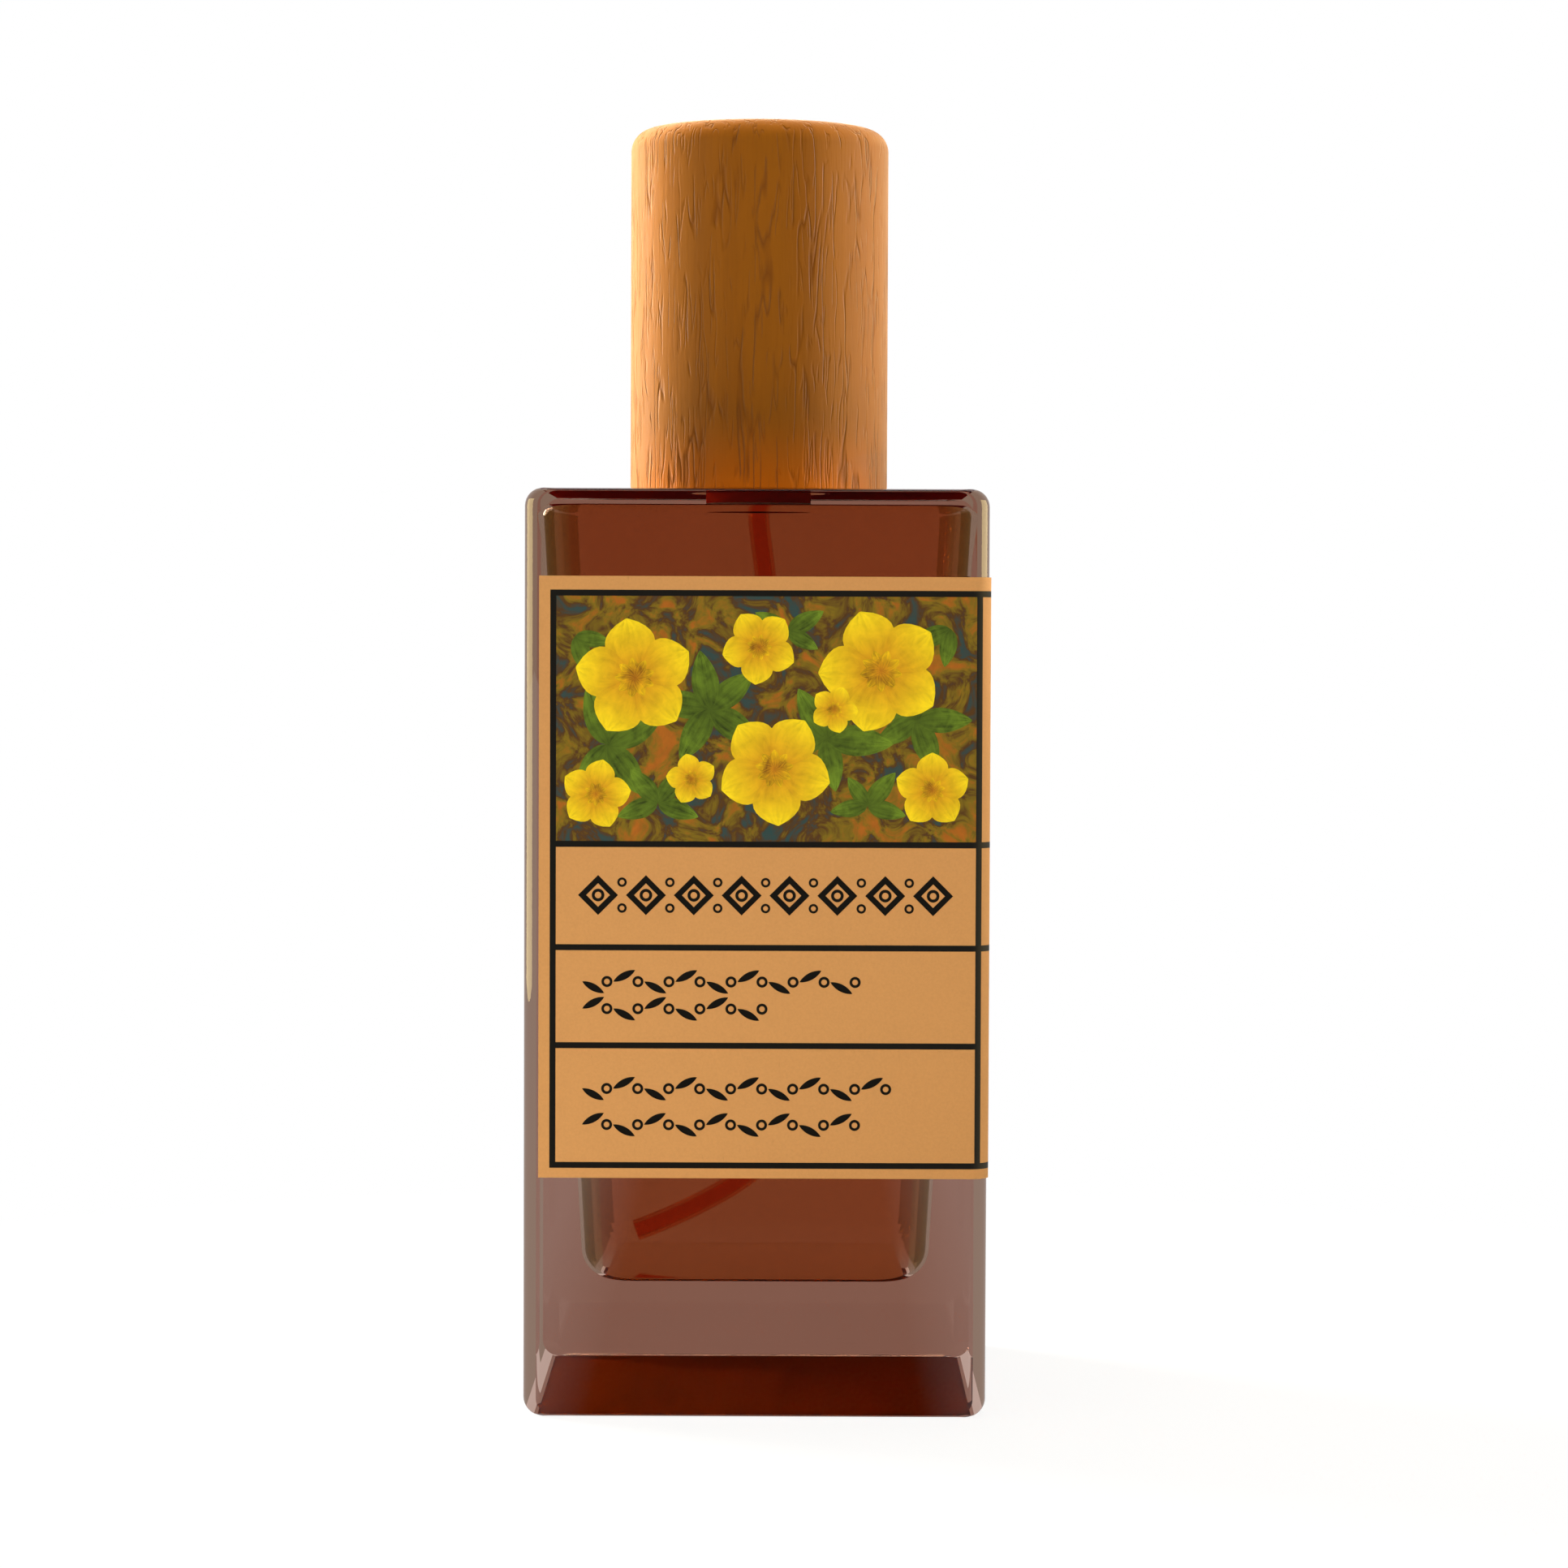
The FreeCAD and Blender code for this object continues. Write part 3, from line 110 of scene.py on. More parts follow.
class GlassSettings(bpy.types.PropertyGroup):
    """Sizes and tints of the glass and the liquid in it."""

    width: length("Width", "Across the front", GLASS_HIGH.x - GLASS_LOW.x)
    depth: length("Depth", "Front to back", GLASS_HIGH.y - GLASS_LOW.y)
    shoulder: length("Shoulder", "Base to shoulder", SHOULDER)
    edge_round: length("Edge round", "Radius of the outer corners", 1.4 * MM)
    edge_fine: length("Fine edge", "Radius round the level edges of front and back", 0.25 * MM)
    floor: length("Floor", "Height of the hollow's floor", FILL_LOW.z - SLACK)
    ceiling: length("Ceiling", "Height of the hollow's ceiling", FILL_HIGH.z + SLACK)
    top_half: length("Top half width", "Half of the hollow's width at its ceiling", 17.0 * MM)
    low_half: length("Low half width", "Half of the hollow's width at its floor", 13.6 * MM)
    corner: length("Corner", "Corner radius of the hollow in plan", 4.0 * MM)
    floor_round: length("Floor round", "Radius round the hollow's floor", 2.4 * MM)
    ceiling_round: length("Ceiling round", "Radius round the hollow's ceiling", 0.9 * MM)
    neck: length("Neck", "Radius under the bead", 5.7 * MM)
    bead: length("Bead", "Radius of the crimp bead", 6.5 * MM)
    bead_low: length("Bead low edge", "Height where the bead starts", GLASS_HIGH.z - 3.1 * MM)
    bore: length("Bore", "Inside radius of the neck", 4.2 * MM)
    glass_tint: colour("Glass tint", "Colour that the glass lets through", (0.242, 0.109, 0.076))
    liquid_tint: colour("Liquid tint", "Colour that the liquid lets through", (0.90, 0.50, 0.08))
    liquid_depth: amount("Liquid depth", "Strength of the liquid tint", 62.0)
    # Painted shade: a dark brown colour on the underside, seen from inside the glass, stands in for the
    # dark base there.
    underside_painted_shade: colour("Shade", "Underside seen from inside the glass", (0.112, 0.019, 0.0003))
    # Painted shade: a dark red colour on the shoulder's underside, seen from inside, gives the dark strip
    # under the cap.
    shoulder_painted_shade: colour("Shoulder", "Shoulder seen from inside the glass", (0.30, 0.010, 0.0002))
    # Painted shade: a red colour on the bore, seen from inside and little lit, joins that dark strip.
    neck_painted_shade: colour("Neck", "Bore seen from inside the glass", (0.95, 0.06, 0.01))
    # Painted light: a pale colour on the lower end of the bore, seen from inside, up to the rim height
    # below.
    rim_painted_light: colour("Rim", "Lower end of the bore seen from inside the glass", (0.95, 0.85, 0.85))
    rim: length("Rim height", "Pale lower end of the bore", 0.42 * MM)
    # Painted light: a paler tint on the left and right faces, seen from inside, gives lighter bands along
    # the sides.
    side_face_painted_light: colour("Side tint", "Left and right face seen from inside the glass", (0.245, 0.205, 0.15))
    # Painted shade: an olive tint on the left and right walls of the hollow darkens them into olive bands.
    side_wall_painted_shade: colour("Side wall painted shade", "Left and right wall of the hollow", (0.43, 0.34, 0.13))
    floor_tint: colour("Floor tint", "Floor and ceiling of the hollow seen from it", (0.97, 0.92, 0.75))
    bending: amount("Bending", "Index of the outer faces, set by the photo", 1.25)
    tube_colour: colour("Tube colour", "Dip tube", (1.0, 0.48, 0.28))


class LabelSettings(bpy.types.PropertyGroup):
    """Sizes and colours of the label."""

    glue: length("Glue", "Adhesive under the paper", 0.02 * MM)
    paper: length("Paper", "Thickness of the paper", 0.12 * MM)
    line: length("Line", "Width of the ruled lines", 0.47 * MM)
    paper_colour: colour("Paper colour", "Uncoated tinted paper", (0.600, 0.292, 0.100))
    ink_colour: colour("Ink colour", "Ruled lines and ornaments", (0.002, 0.0016, 0.0015))
    teal: colour("Teal", "Dark ground of the picture", (0.008, 0.066, 0.078))
    umber: colour("Umber", "Brown ground of the picture", (0.085, 0.034, 0.006))
    olive: colour("Olive", "Green ground of the picture", (0.230, 0.160, 0.006))
    rust: colour("Rust", "Warm ground of the picture", (0.480, 0.140, 0.008))
    petal: colour("Petal", "Blossoms", (0.96, 0.64, 0.002))
    heart: colour("Heart", "Middle of the blossoms", (0.62, 0.22, 0.004))
    leaf: colour("Leaf", "Leaves", (0.080, 0.135, 0.008))
    lift: length("Lift", "Step between layers of print", 0.001 * MM)


class CapSettings(bpy.types.PropertyGroup):
    """Sizes and colours of the wooden cap."""

    sides: number("Sides", "Segments round the cap", 160, 24)
    top_round: length("Top round", "Radius of the upper edge", 1.75 * MM)
    foot_round: length("Foot round", "Radius of the lower edges", 0.3 * MM)
    roof: length("Roof", "Wood over the liner", 3.0 * MM)
    pale_wood: colour("Pale wood", "Between the pores", (0.278, 0.087, 0.0014))
    warm_wood: colour("Warm wood", "Later growth", (0.236, 0.071, 0.0009))
    # Painted light: an amber glow on the front of the cap's foot stands in for light thrown up from the lit
    # shoulder.
    painted_foot_glow: colour("Painted foot glow", "Redder wood over the shoulder", (0.95, 0.22, 0.002))
    pore_colour: colour("Pores", "Open pores of the grain", (0.11, 0.026, 0.002))


class PumpSettings(bpy.types.PropertyGroup):
    """Sizes and colours of the pump."""

    spring_wire: length("Spring wire", "Return spring", 0.4 * MM)
    spring_turns: number("Spring turns", "Coils of the return spring", 4)
    prime_wire: length("Prime wire", "Prime spring", 0.3 * MM)
    prime_turns: number("Prime turns", "Coils of the prime spring", 2)
    gold: colour("Gold", "Anodised collar and head", (0.72, 0.52, 0.27))
    sheet: colour("Sheet", "Bare ferrule", (0.78, 0.78, 0.79))
    steel: colour("Steel", "Springs and ball", (0.56, 0.56, 0.57))
    milk: colour("Milk", "White mouldings", (0.80, 0.80, 0.77))
    seal: colour("Seal", "Neck gasket", (0.62, 0.60, 0.55))
    liner: colour("Liner", "Inside of the cap", (0.016, 0.013, 0.011))


class StageSettings(bpy.types.PropertyGroup):
    """Camera, floor and light."""

    camera_x: length("Camera X", "Camera to the right of the middle", 2.14 * MM)
    camera_y: length("Camera Y", "Camera in front of the middle", -354.3 * MM)
    camera_z: length("Camera Z", "Camera above the floor", SHOULDER - 10.6 * MM)
    tilt: angle("Tilt", "Camera looks down", 2.08)
    roll: angle("Roll", "Camera turned about its view", 0.22)
    sensor: amount("Sensor", "Width of the sensor, in millimetres", 36.0)
    lens: amount("Lens", "Focal length on that sensor, in millimetres", 100.0)
    key: power("Key", "Lamp at the left and behind", 18.5)
    side: power("Side", "Narrow lamp at the right of the cap", 0.024)
    side_spread: angle("Side spread", "Beam of the narrow lamp", 50)
    top: power("Top", "Soft lamp above", 9.5)
    card: power("Cards", "Two cards mirrored in the glass", 1.25)
    lamp_colour: colour("Lamp", "Colour of the key and side lamps", (1.0, 0.98, 0.90))
    top_colour: colour("Top lamp", "Colour of the lamp above", (1.0, 0.90, 0.66))
    card_colour: colour("Card", "Colour of the mirrored cards", (1.0, 0.80, 0.36))
    room: colour("Room", "Light of the room on the object", (0.482, 0.470, 0.448))
    floor_colour: colour("Floor", "Plain pale floor", (0.56, 0.56, 0.55))


class BottleSettings(bpy.types.PropertyGroup):
    """All settings of the spray bottle."""

    glass: PointerProperty(type=GlassSettings)
    label: PointerProperty(type=LabelSettings)
    cap: PointerProperty(type=CapSettings)
    pump: PointerProperty(type=PumpSettings)
    stage: PointerProperty(type=StageSettings)


# Tools for modelling


def clear_selection():
    if bpy.context.object and bpy.context.object.mode != "OBJECT":
        object_mode()
    bpy.ops.object.select_all(action="DESELECT")


def edit_mode():
    bpy.ops.object.mode_set(mode="EDIT")


def edit_whole():
    edit_mode()
    bpy.ops.mesh.select_all(action="SELECT")


def object_mode():
    bpy.ops.object.mode_set(mode="OBJECT")


def apply_place():
    """Puts the active object's place, turn and size into its mesh."""
    bpy.ops.object.transform_apply(location=True, rotation=True, scale=True)


def draw_out(move):
    bpy.ops.mesh.extrude_region_move(TRANSFORM_OT_translate={"value": move})


def make_active(piece):
    clear_selection()
    piece.select_set(True)
    bpy.context.view_layer.objects.active = piece


def pick(piece, kind, test):
    """Selects the corners, edges or faces that pass a test, in edit mode."""
    bpy.ops.mesh.select_mode(type=kind)
    bpy.ops.mesh.select_all(action="DESELECT")
    form = bmesh.from_edit_mesh(piece.data)
    parts = {"VERT": form.verts, "EDGE": form.edges, "FACE": form.faces}[kind]
    for part in parts:
        if test(part):
            part.select_set(True)
    form.select_flush_mode()
    bmesh.update_edit_mesh(piece.data)


def level_with(height):
    """A test for edges that lie at a height."""
    return lambda edge: all(abs(corner.co.z - height) < SAME for corner in edge.verts)


def upright(edge):
    """A test for edges that run from one height to another."""
    return abs(edge.verts[0].co.z - edge.verts[1].co.z) > 1 * MM


def bevel(offset, segments):
    """A round along the selected edges."""
    bpy.ops.mesh.bevel(offset=offset, offset_type="OFFSET", segments=segments, profile=0.5, affect="EDGES")


def apply_modifier(piece, kind, **settings):
    make_active(piece)
    modifier = piece.modifiers.new(kind.title(), kind)
    for setting, value in settings.items():
        setattr(modifier, setting, value)
    bpy.ops.object.modifier_apply(modifier=modifier.name)


def combine(piece, tool, operation):
    """Joins another form to a piece or cuts it out, and deletes that form."""
    apply_modifier(piece, "BOOLEAN", object=tool, operation=operation, solver="EXACT")
    bpy.data.objects.remove(tool)


def even_normals(piece):
    """Smooth rounds beside faces that stay flat."""
    make_active(piece)
    bpy.ops.object.shade_smooth()
    apply_modifier(piece, "WEIGHTED_NORMAL", mode="FACE_AREA", weight=100, keep_sharp=False)


def outward(piece):
    """Merges double corners and turns all faces outward."""
    make_active(piece)
    edit_whole()
    bpy.ops.mesh.remove_doubles(threshold=MERGE)
    bpy.ops.mesh.normals_make_consistent(inside=False)
    object_mode()


def seat(piece, name, body, slot, *nodes):
    """Names a piece, puts its place into its mesh and ties it to the frame."""
    piece.name = piece.data.name = name
    make_active(piece)
    apply_place()
    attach(piece, body)
    if nodes:
        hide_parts(*nodes)


def block(width, depth, low, high):
    """A plain block between two heights, to be shaped further."""
    clear_selection()
    bpy.ops.mesh.primitive_cube_add(
        size=1, location=(0, 0, (low + high) / 2), scale=(width, depth, high - low)
    )
    piece = bpy.context.object
    apply_place()
    return piece


def turned(rings, sides=128):
    """A round form drawn up through rings of radius and height."""
    clear_selection()
    radius, height = rings[0]
    bpy.ops.mesh.primitive_circle_add(vertices=sides, radius=radius, fill_type="NGON")
    piece = bpy.context.object
    edit_whole()
    bpy.ops.transform.translate(value=(0, 0, height))
    for next_radius, next_height in rings[1:]:
        draw_out((0, 0, next_height - height))
        grow = next_radius / radius
        bpy.ops.transform.resize(value=(grow, grow, 1), center_override=(0, 0, next_height))
        radius, height = next_radius, next_height
    object_mode()
    outward(piece)
    return piece


# Tools for materials


def set_inputs(tree, node, inputs):
    """Sets each input to a value or links it to another node's output."""
    for socket, value in inputs.items():
        if isinstance(value, bpy.types.NodeSocket):
            tree.links.new(value, node.inputs[socket])
        else:
            node.inputs[socket].default_value = value


def add_node(tree, kind, inputs=None, **settings):
    made = tree.nodes.new(kind)
    for setting, value in settings.items():
        setattr(made, setting, value)
    set_inputs(tree, made, inputs or {})
    return made


def calculate(tree, operation, first, second=0.0, third=0.0, clamp=False):
    inputs = {0: first, 1: second, 2: third}
    return add_node(tree, "ShaderNodeMath", inputs, operation=operation, use_clamp=clamp).outputs[0]


def times(tree, first, second, clamp=False):
    return calculate(tree, "MULTIPLY", first, second, clamp=clamp)


def scaled(tree, value, factor, offset, clamp=False):
    return calculate(tree, "MULTIPLY_ADD", value, factor, offset, clamp)


def larger(tree, first, second):
    return calculate(tree, "MAXIMUM", first, second)


def join_vectors(tree, operation, first, second):
    return add_node(tree, "ShaderNodeVectorMath", {0: first, 1: second}, operation=operation).outputs[0]


def separate(tree, vector):
    """The three parts of a vector."""
    return add_node(tree, "ShaderNodeSeparateXYZ", {0: vector}).outputs


def mix_colours(tree, factor, first, second):
    inputs = {0: factor, 6: first, 7: second}
    return add_node(tree, "ShaderNodeMix", inputs, data_type="RGBA").outputs[2]


def ramp(tree, factor, stops):
    made = add_node(tree, "ShaderNodeValToRGB", {0: factor})
    steps = made.color_ramp.elements
    while len(steps) < len(stops):
        steps.new(0.5)
    for step, (position, shade) in zip(steps, stops):
        step.position = position
        step.color = shade if len(shade) == 4 else full(shade)
    return made.outputs[0]


def grey(light):
    return (light, light, light, 1)


def full(shade):
    return (*shade, 1)


def darker(shade, share):
    return full(part * share for part in shade)


def new_material(name):
    material = bpy.data.materials.new(name)
    material.use_nodes = True
    tree = material.node_tree
    tree.nodes.clear()
    output = add_node(tree, "ShaderNodeOutputMaterial")
    shader = add_node(tree, "ShaderNodeBsdfPrincipled")
    tree.links.new(shader.outputs[0], output.inputs["Surface"])
    return material, tree, shader, output


def show_both(tree, output, share, first, second):
    """Shows the second shader in place of the first, by a share."""
    both = add_node(tree, "ShaderNodeMixShader", {0: share, 1: first.outputs[0], 2: second.outputs[0]})
    tree.links.new(both.outputs[0], output.inputs["Surface"])


def place_on(tree, stretch=(1, 1, 1)):
    """Object coordinates in millimetres, stretched."""
    place = add_node(tree, "ShaderNodeTexCoord").outputs["Object"]
    return stretched(tree, place, tuple(1000 * share for share in stretch))


def stretched(tree, vector, scale):
    return add_node(tree, "ShaderNodeMapping", {"Vector": vector, "Scale": scale}).outputs[0]


def noise(tree, vector, scale, detail=2.0, roughness=0.5, distortion=0.0):
    inputs = {"Vector": vector, "Scale": scale, "Detail": detail}
    inputs.update({"Roughness": roughness, "Distortion": distortion})
    return add_node(tree, "ShaderNodeTexNoise", inputs).outputs[0]


def add_bump(tree, shader, height, distance, strength=1.0):
    made = add_node(tree, "ShaderNodeBump", {"Height": height, "Strength": strength, "Distance": distance})
    tree.links.new(made.outputs[0], shader.inputs["Normal"])


MATT = {"Roughness": 0.6, "Specular IOR Level": 0.0}
MIRROR = {"Roughness": 0.05, "Metallic": 1.0}


def clear(bending, coat=0.0):
    """Settings of a clear shader that bends light by an index."""
    return {
        "Roughness": 0.0, "IOR": bending, "Transmission Weight": 1.0,
        "Coat Weight": coat, "Coat Roughness": 0.0,
    }


def set_side(tree, shader, tint, settings):
    """One side of a glass face: its tint, faintly clouded and rippled, and its shader's settings."""
    ripple = noise(tree, place_on(tree), 0.12, 1.0)
    clouded = mix_colours(tree, ripple, full(tint), darker(tint, 0.94))
    set_inputs(tree, shader, {"Base Color": clouded, **settings})
    add_bump(tree, shader, ripple, 0.05 * MM, 0.2)


def glass_material(name, outside, inside=None):
    """Polished glass, each side given as a tint and settings; a face may look different from inside."""
    material, tree, shader, output = new_material(name)
    set_side(tree, shader, *outside)
    if inside:
        other = add_node(tree, "ShaderNodeBsdfPrincipled")
        set_side(tree, other, *inside)
        turned_away = add_node(tree, "ShaderNodeNewGeometry").outputs["Backfacing"]
        show_both(tree, output, turned_away, shader, other)
    return material


def liquid_material(tint, depth):
    """Clear liquid that tints by its depth; the glass round it carries the step between the two."""
    material, tree, shader, output = new_material("amber_liquid")
    set_inputs(tree, shader, {"Base Color": grey(1.0), **clear(1.0)})
    stain = add_node(tree, "ShaderNodeVolumeAbsorption", {"Color": full(tint), "Density": depth})
    tree.links.new(stain.outputs[0], output.inputs["Volume"])
    return material


def tube_material(shade):
    """Translucent tinted plastic; its index is set against the liquid round it."""
    material, tree, shader, _ = new_material("tinted_tube")
    streaks = noise(tree, place_on(tree, (1, 1, 0.2)), 1.2, 2.0)
    set_inputs(tree, shader, {
        "Base Color": mix_colours(tree, streaks, full(shade), darker(shade, 0.88)),
        "Roughness": scaled(tree, streaks, 0.1, 0.08),
        "IOR": TUBE_STEP,
        "Transmission Weight": 1.0,
    })
    return material


def wood_material(settings):
    """Turned wood with its grain upright: wavy pores, fibres and slow bands, and a painted amber glow low
    on its front.
    """
    material, tree, shader, _ = new_material("oiled_wood")
    place = place_on(tree)
    swirl = {"Vector": place_on(tree, (0.3, 0.3, 0.09)), "Scale": 1.0}
    sway = add_node(tree, "ShaderNodeTexNoise", swirl).outputs[1]
    sway = join_vectors(tree, "MULTIPLY", sway, (0.8, 0.8, 0))
    drawn = join_vectors(tree, "ADD", place, sway)

    def along_grain(squeeze):
        return stretched(tree, drawn, (1, 1, squeeze))

    def pores(scale, squeeze, width, share):
        line = calculate(tree, "SUBTRACT", noise(tree, along_grain(squeeze), scale, 1.0), 0.5)
        line = calculate(tree, "ABSOLUTE", line)
        line = ramp(tree, line, ((0.0, grey(1)), (width, grey(0))))
        broken = noise(tree, along_grain(squeeze * 3), scale * 0.8, 1.0)
        return times(tree, line, ramp(tree, broken, ((share, grey(0)), (share + 0.1, grey(1)))))

    bands = noise(tree, along_grain(0.03), 0.35, 2.0)
    fibres = noise(tree, along_grain(0.05), 3.6, 3.0, 0.6)
    fine = times(tree, pores(1.6, 0.08, 0.045, 0.48), 0.55)
    pits = larger(tree, pores(0.95, 0.1, 0.035, 0.46), fine)
    _, back, up = separate(tree, place)
    top_fade, foot_fade = 1.4, 0.15
    top = scaled(tree, up, top_fade, 0.9 - top_fade * CAP_HIGH.z / MM, clamp=True)
    pits = times(tree, pits, scaled(tree, top, -0.75, 1.0))
    tone = scaled(tree, fibres, 0.4, times(tree, bands, 0.6))
    wood = ramp(tree, tone, ((0.36, settings.warm_wood), (0.64, settings.pale_wood)))
    # Painted light: an amber glow at the foot, fading upwards and towards the sides, for light from the lit
    # shoulder.
    foot = scaled(tree, up, -foot_fade, foot_fade * CAP_LOW.z / MM + 1.0, clamp=True)
    ahead = times(tree, back, -MM / CAP_HIGH.x, clamp=True)
    glow = times(tree, ahead, foot)
    wood = mix_colours(tree, times(tree, glow, glow), wood, full(settings.painted_foot_glow))
    wood = mix_colours(tree, times(tree, pits, 0.48), wood, full(settings.pore_colour))
    set_inputs(tree, shader, {
        "Base Color": wood,
        "Roughness": scaled(tree, fibres, 0.16, 0.48),
        "Specular IOR Level": 0.09,
        "Sheen Weight": 0.4,
        "Sheen Roughness": 0.4,
        "Sheen Tint": (1.0, 0.82, 0.58, 1.0),
    })
    relief = scaled(tree, pits, -1.0, times(tree, fibres, 0.25))
    add_bump(tree, shader, relief, 0.12 * MM, 0.7)
    return material


def metal_material(name, shade, rough):
    """Sheet metal with fine turning lines."""
    material, tree, shader, _ = new_material(name)
    lines = noise(tree, place_on(tree, (0.05, 0.05, 1)), 9.0, 3.0)
    cloud = noise(tree, place_on(tree), 0.6, 2.0)
    set_inputs(tree, shader, {
        "Base Color": mix_colours(tree, cloud, full(shade), darker(shade, 0.86)),
        "Roughness": scaled(tree, lines, 0.16, rough),
        "Metallic": 1.0,
    })
    add_bump(tree, shader, lines, 0.006 * MM, 0.5)
    return material


def moulded_material(name, shade, rough, grain=2.5):
    """Moulded plastic or rubber with a faint skin."""
    material, tree, shader, _ = new_material(name)
    skin = noise(tree, place_on(tree), grain, 3.0)
    set_inputs(tree, shader, {
        "Base Color": mix_colours(tree, skin, full(shade), darker(shade, 0.88)),
        "Roughness": scaled(tree, skin, 0.14, rough),
    })
    add_bump(tree, shader, skin, 0.01 * MM, 0.4)
    return material


def label_material(settings, run, rise):
    """Tinted paper with ruled frames, measured in millimetres along the paper and up it."""
    material, tree, shader, _ = new_material("printed_paper")
    across, upward, _ = separate(tree, add_node(tree, "ShaderNodeTexCoord").outputs["UV"])
    along = times(tree, across, run / MM)
    up = times(tree, upward, rise / MM)
    half = settings.line / MM / 2
    left, right, end = 1.1, 34.0, run / MM - 1.1
    low, high = 1.0, rise / MM - 1.3
    first_row, second_row, picture_foot = 10.3, 17.9, 25.9

    def within(value, start, stop):
        middle, reach = (start + stop) / 2, (stop - start) / 2
        return calculate(tree, "COMPARE", value, middle, reach)

    def ruled(at, across_from, across_to, value, other):
        line = calculate(tree, "COMPARE", value, at, half)
        return times(tree, line, within(other, across_from - half, across_to + half))

    lines = [ruled(at, low, high, along, up) for at in (left, right, end)]
    lines += [ruled(at, left, end, up, along) for at in (low, second_row, picture_foot, high)]
    lines.append(ruled(first_row, left, right, up, along))
    ink = lines[0]
    for line in lines[1:]:
        ink = larger(tree, ink, line)
    fibre = noise(tree, place_on(tree), 5.0, 4.0, 0.65)
    flecks = noise(tree, place_on(tree, (1, 1, 0.3)), 3.0, 2.0)
    pale = settings.paper_colour
    wear = ramp(tree, fibre, ((0.35, grey(0)), (0.7, grey(1))))
    sheet = mix_colours(tree, wear, full(pale), darker(pale, 0.93))
    speck = ramp(tree, flecks, ((0.72, grey(0)), (0.8, grey(0.35))))
    sheet = mix_colours(tree, speck, sheet, darker(pale, 0.7))
    daubs = noise(tree, place_on(tree), 0.34, 4.0, 0.62, 1.2)
    painted = ramp(tree, daubs, (
        (0.36, settings.teal), (0.46, settings.umber), (0.55, settings.olive), (0.66, settings.rust),
    ))
    strokes = noise(tree, place_on(tree, (1, 1, 0.6)), 1.6, 3.0, 0.6, 0.8)
    painted = mix_colours(tree, times(tree, strokes, 0.55), painted, full(settings.umber))
    cell = times(tree, within(along, left, right), within(up, picture_foot, high))
    sheet = mix_colours(tree, cell, sheet, painted)
    set_inputs(tree, shader, {
        "Base Color": mix_colours(tree, ink, sheet, full(settings.ink_colour)),
        "Roughness": scaled(tree, ink, -0.2, 0.85),
        "Specular IOR Level": 0.25,
    })
    add_bump(tree, shader, fibre, 0.012 * MM, 0.5)
    return material


def print_material(name, root, tip, streak):
    """Opaque print on a shape, from its root to its tip, with brush streaks along it."""
    material, tree, shader, _ = new_material(name)
    spot = add_node(tree, "ShaderNodeTexCoord").outputs["UV"]
    shade = mix_colours(tree, separate(tree, spot)[1], full(root), full(tip))
    brushed = noise(tree, stretched(tree, spot, (7, 1.5, 1)), 1.0, 3.0)
    daubs = noise(tree, place_on(tree), 0.9, 3.0, 0.6, 0.6)
    dark = scaled(tree, times(tree, brushed, daubs), streak * 4, -0.5 * streak, clamp=True)
    set_inputs(tree, shader, {
        "Base Color": mix_colours(tree, dark, shade, darker(root, 0.3)),
        "Roughness": scaled(tree, daubs, 0.2, 0.6),
        "Specular IOR Level": 0.2,
    })
    return material


# Pieces


def hollow_form(settings, grow=0.0):
    """The tapered hollow with round corners, floor and ceiling, grown by a little all round."""
    low_half = settings.low_half + grow
    high_half = settings.top_half + grow
    floor, ceiling = settings.floor - grow, settings.ceiling + grow
    piece = block(2 * high_half, 2 * high_half, floor, ceiling)
    edit_mode()
    pick(piece, "FACE", lambda face: face.normal.z < -0.9)
    taper = low_half / high_half
    bpy.ops.transform.resize(value=(taper, taper, 1), center_override=(0, 0, floor))
    pick(piece, "EDGE", upright)
    bevel(settings.corner, 10)
    pick(piece, "EDGE", level_with(floor))
    bevel(settings.floor_round, 10)
    pick(piece, "EDGE", level_with(ceiling))
    bevel(settings.ceiling_round, 6)
    object_mode()
    return piece


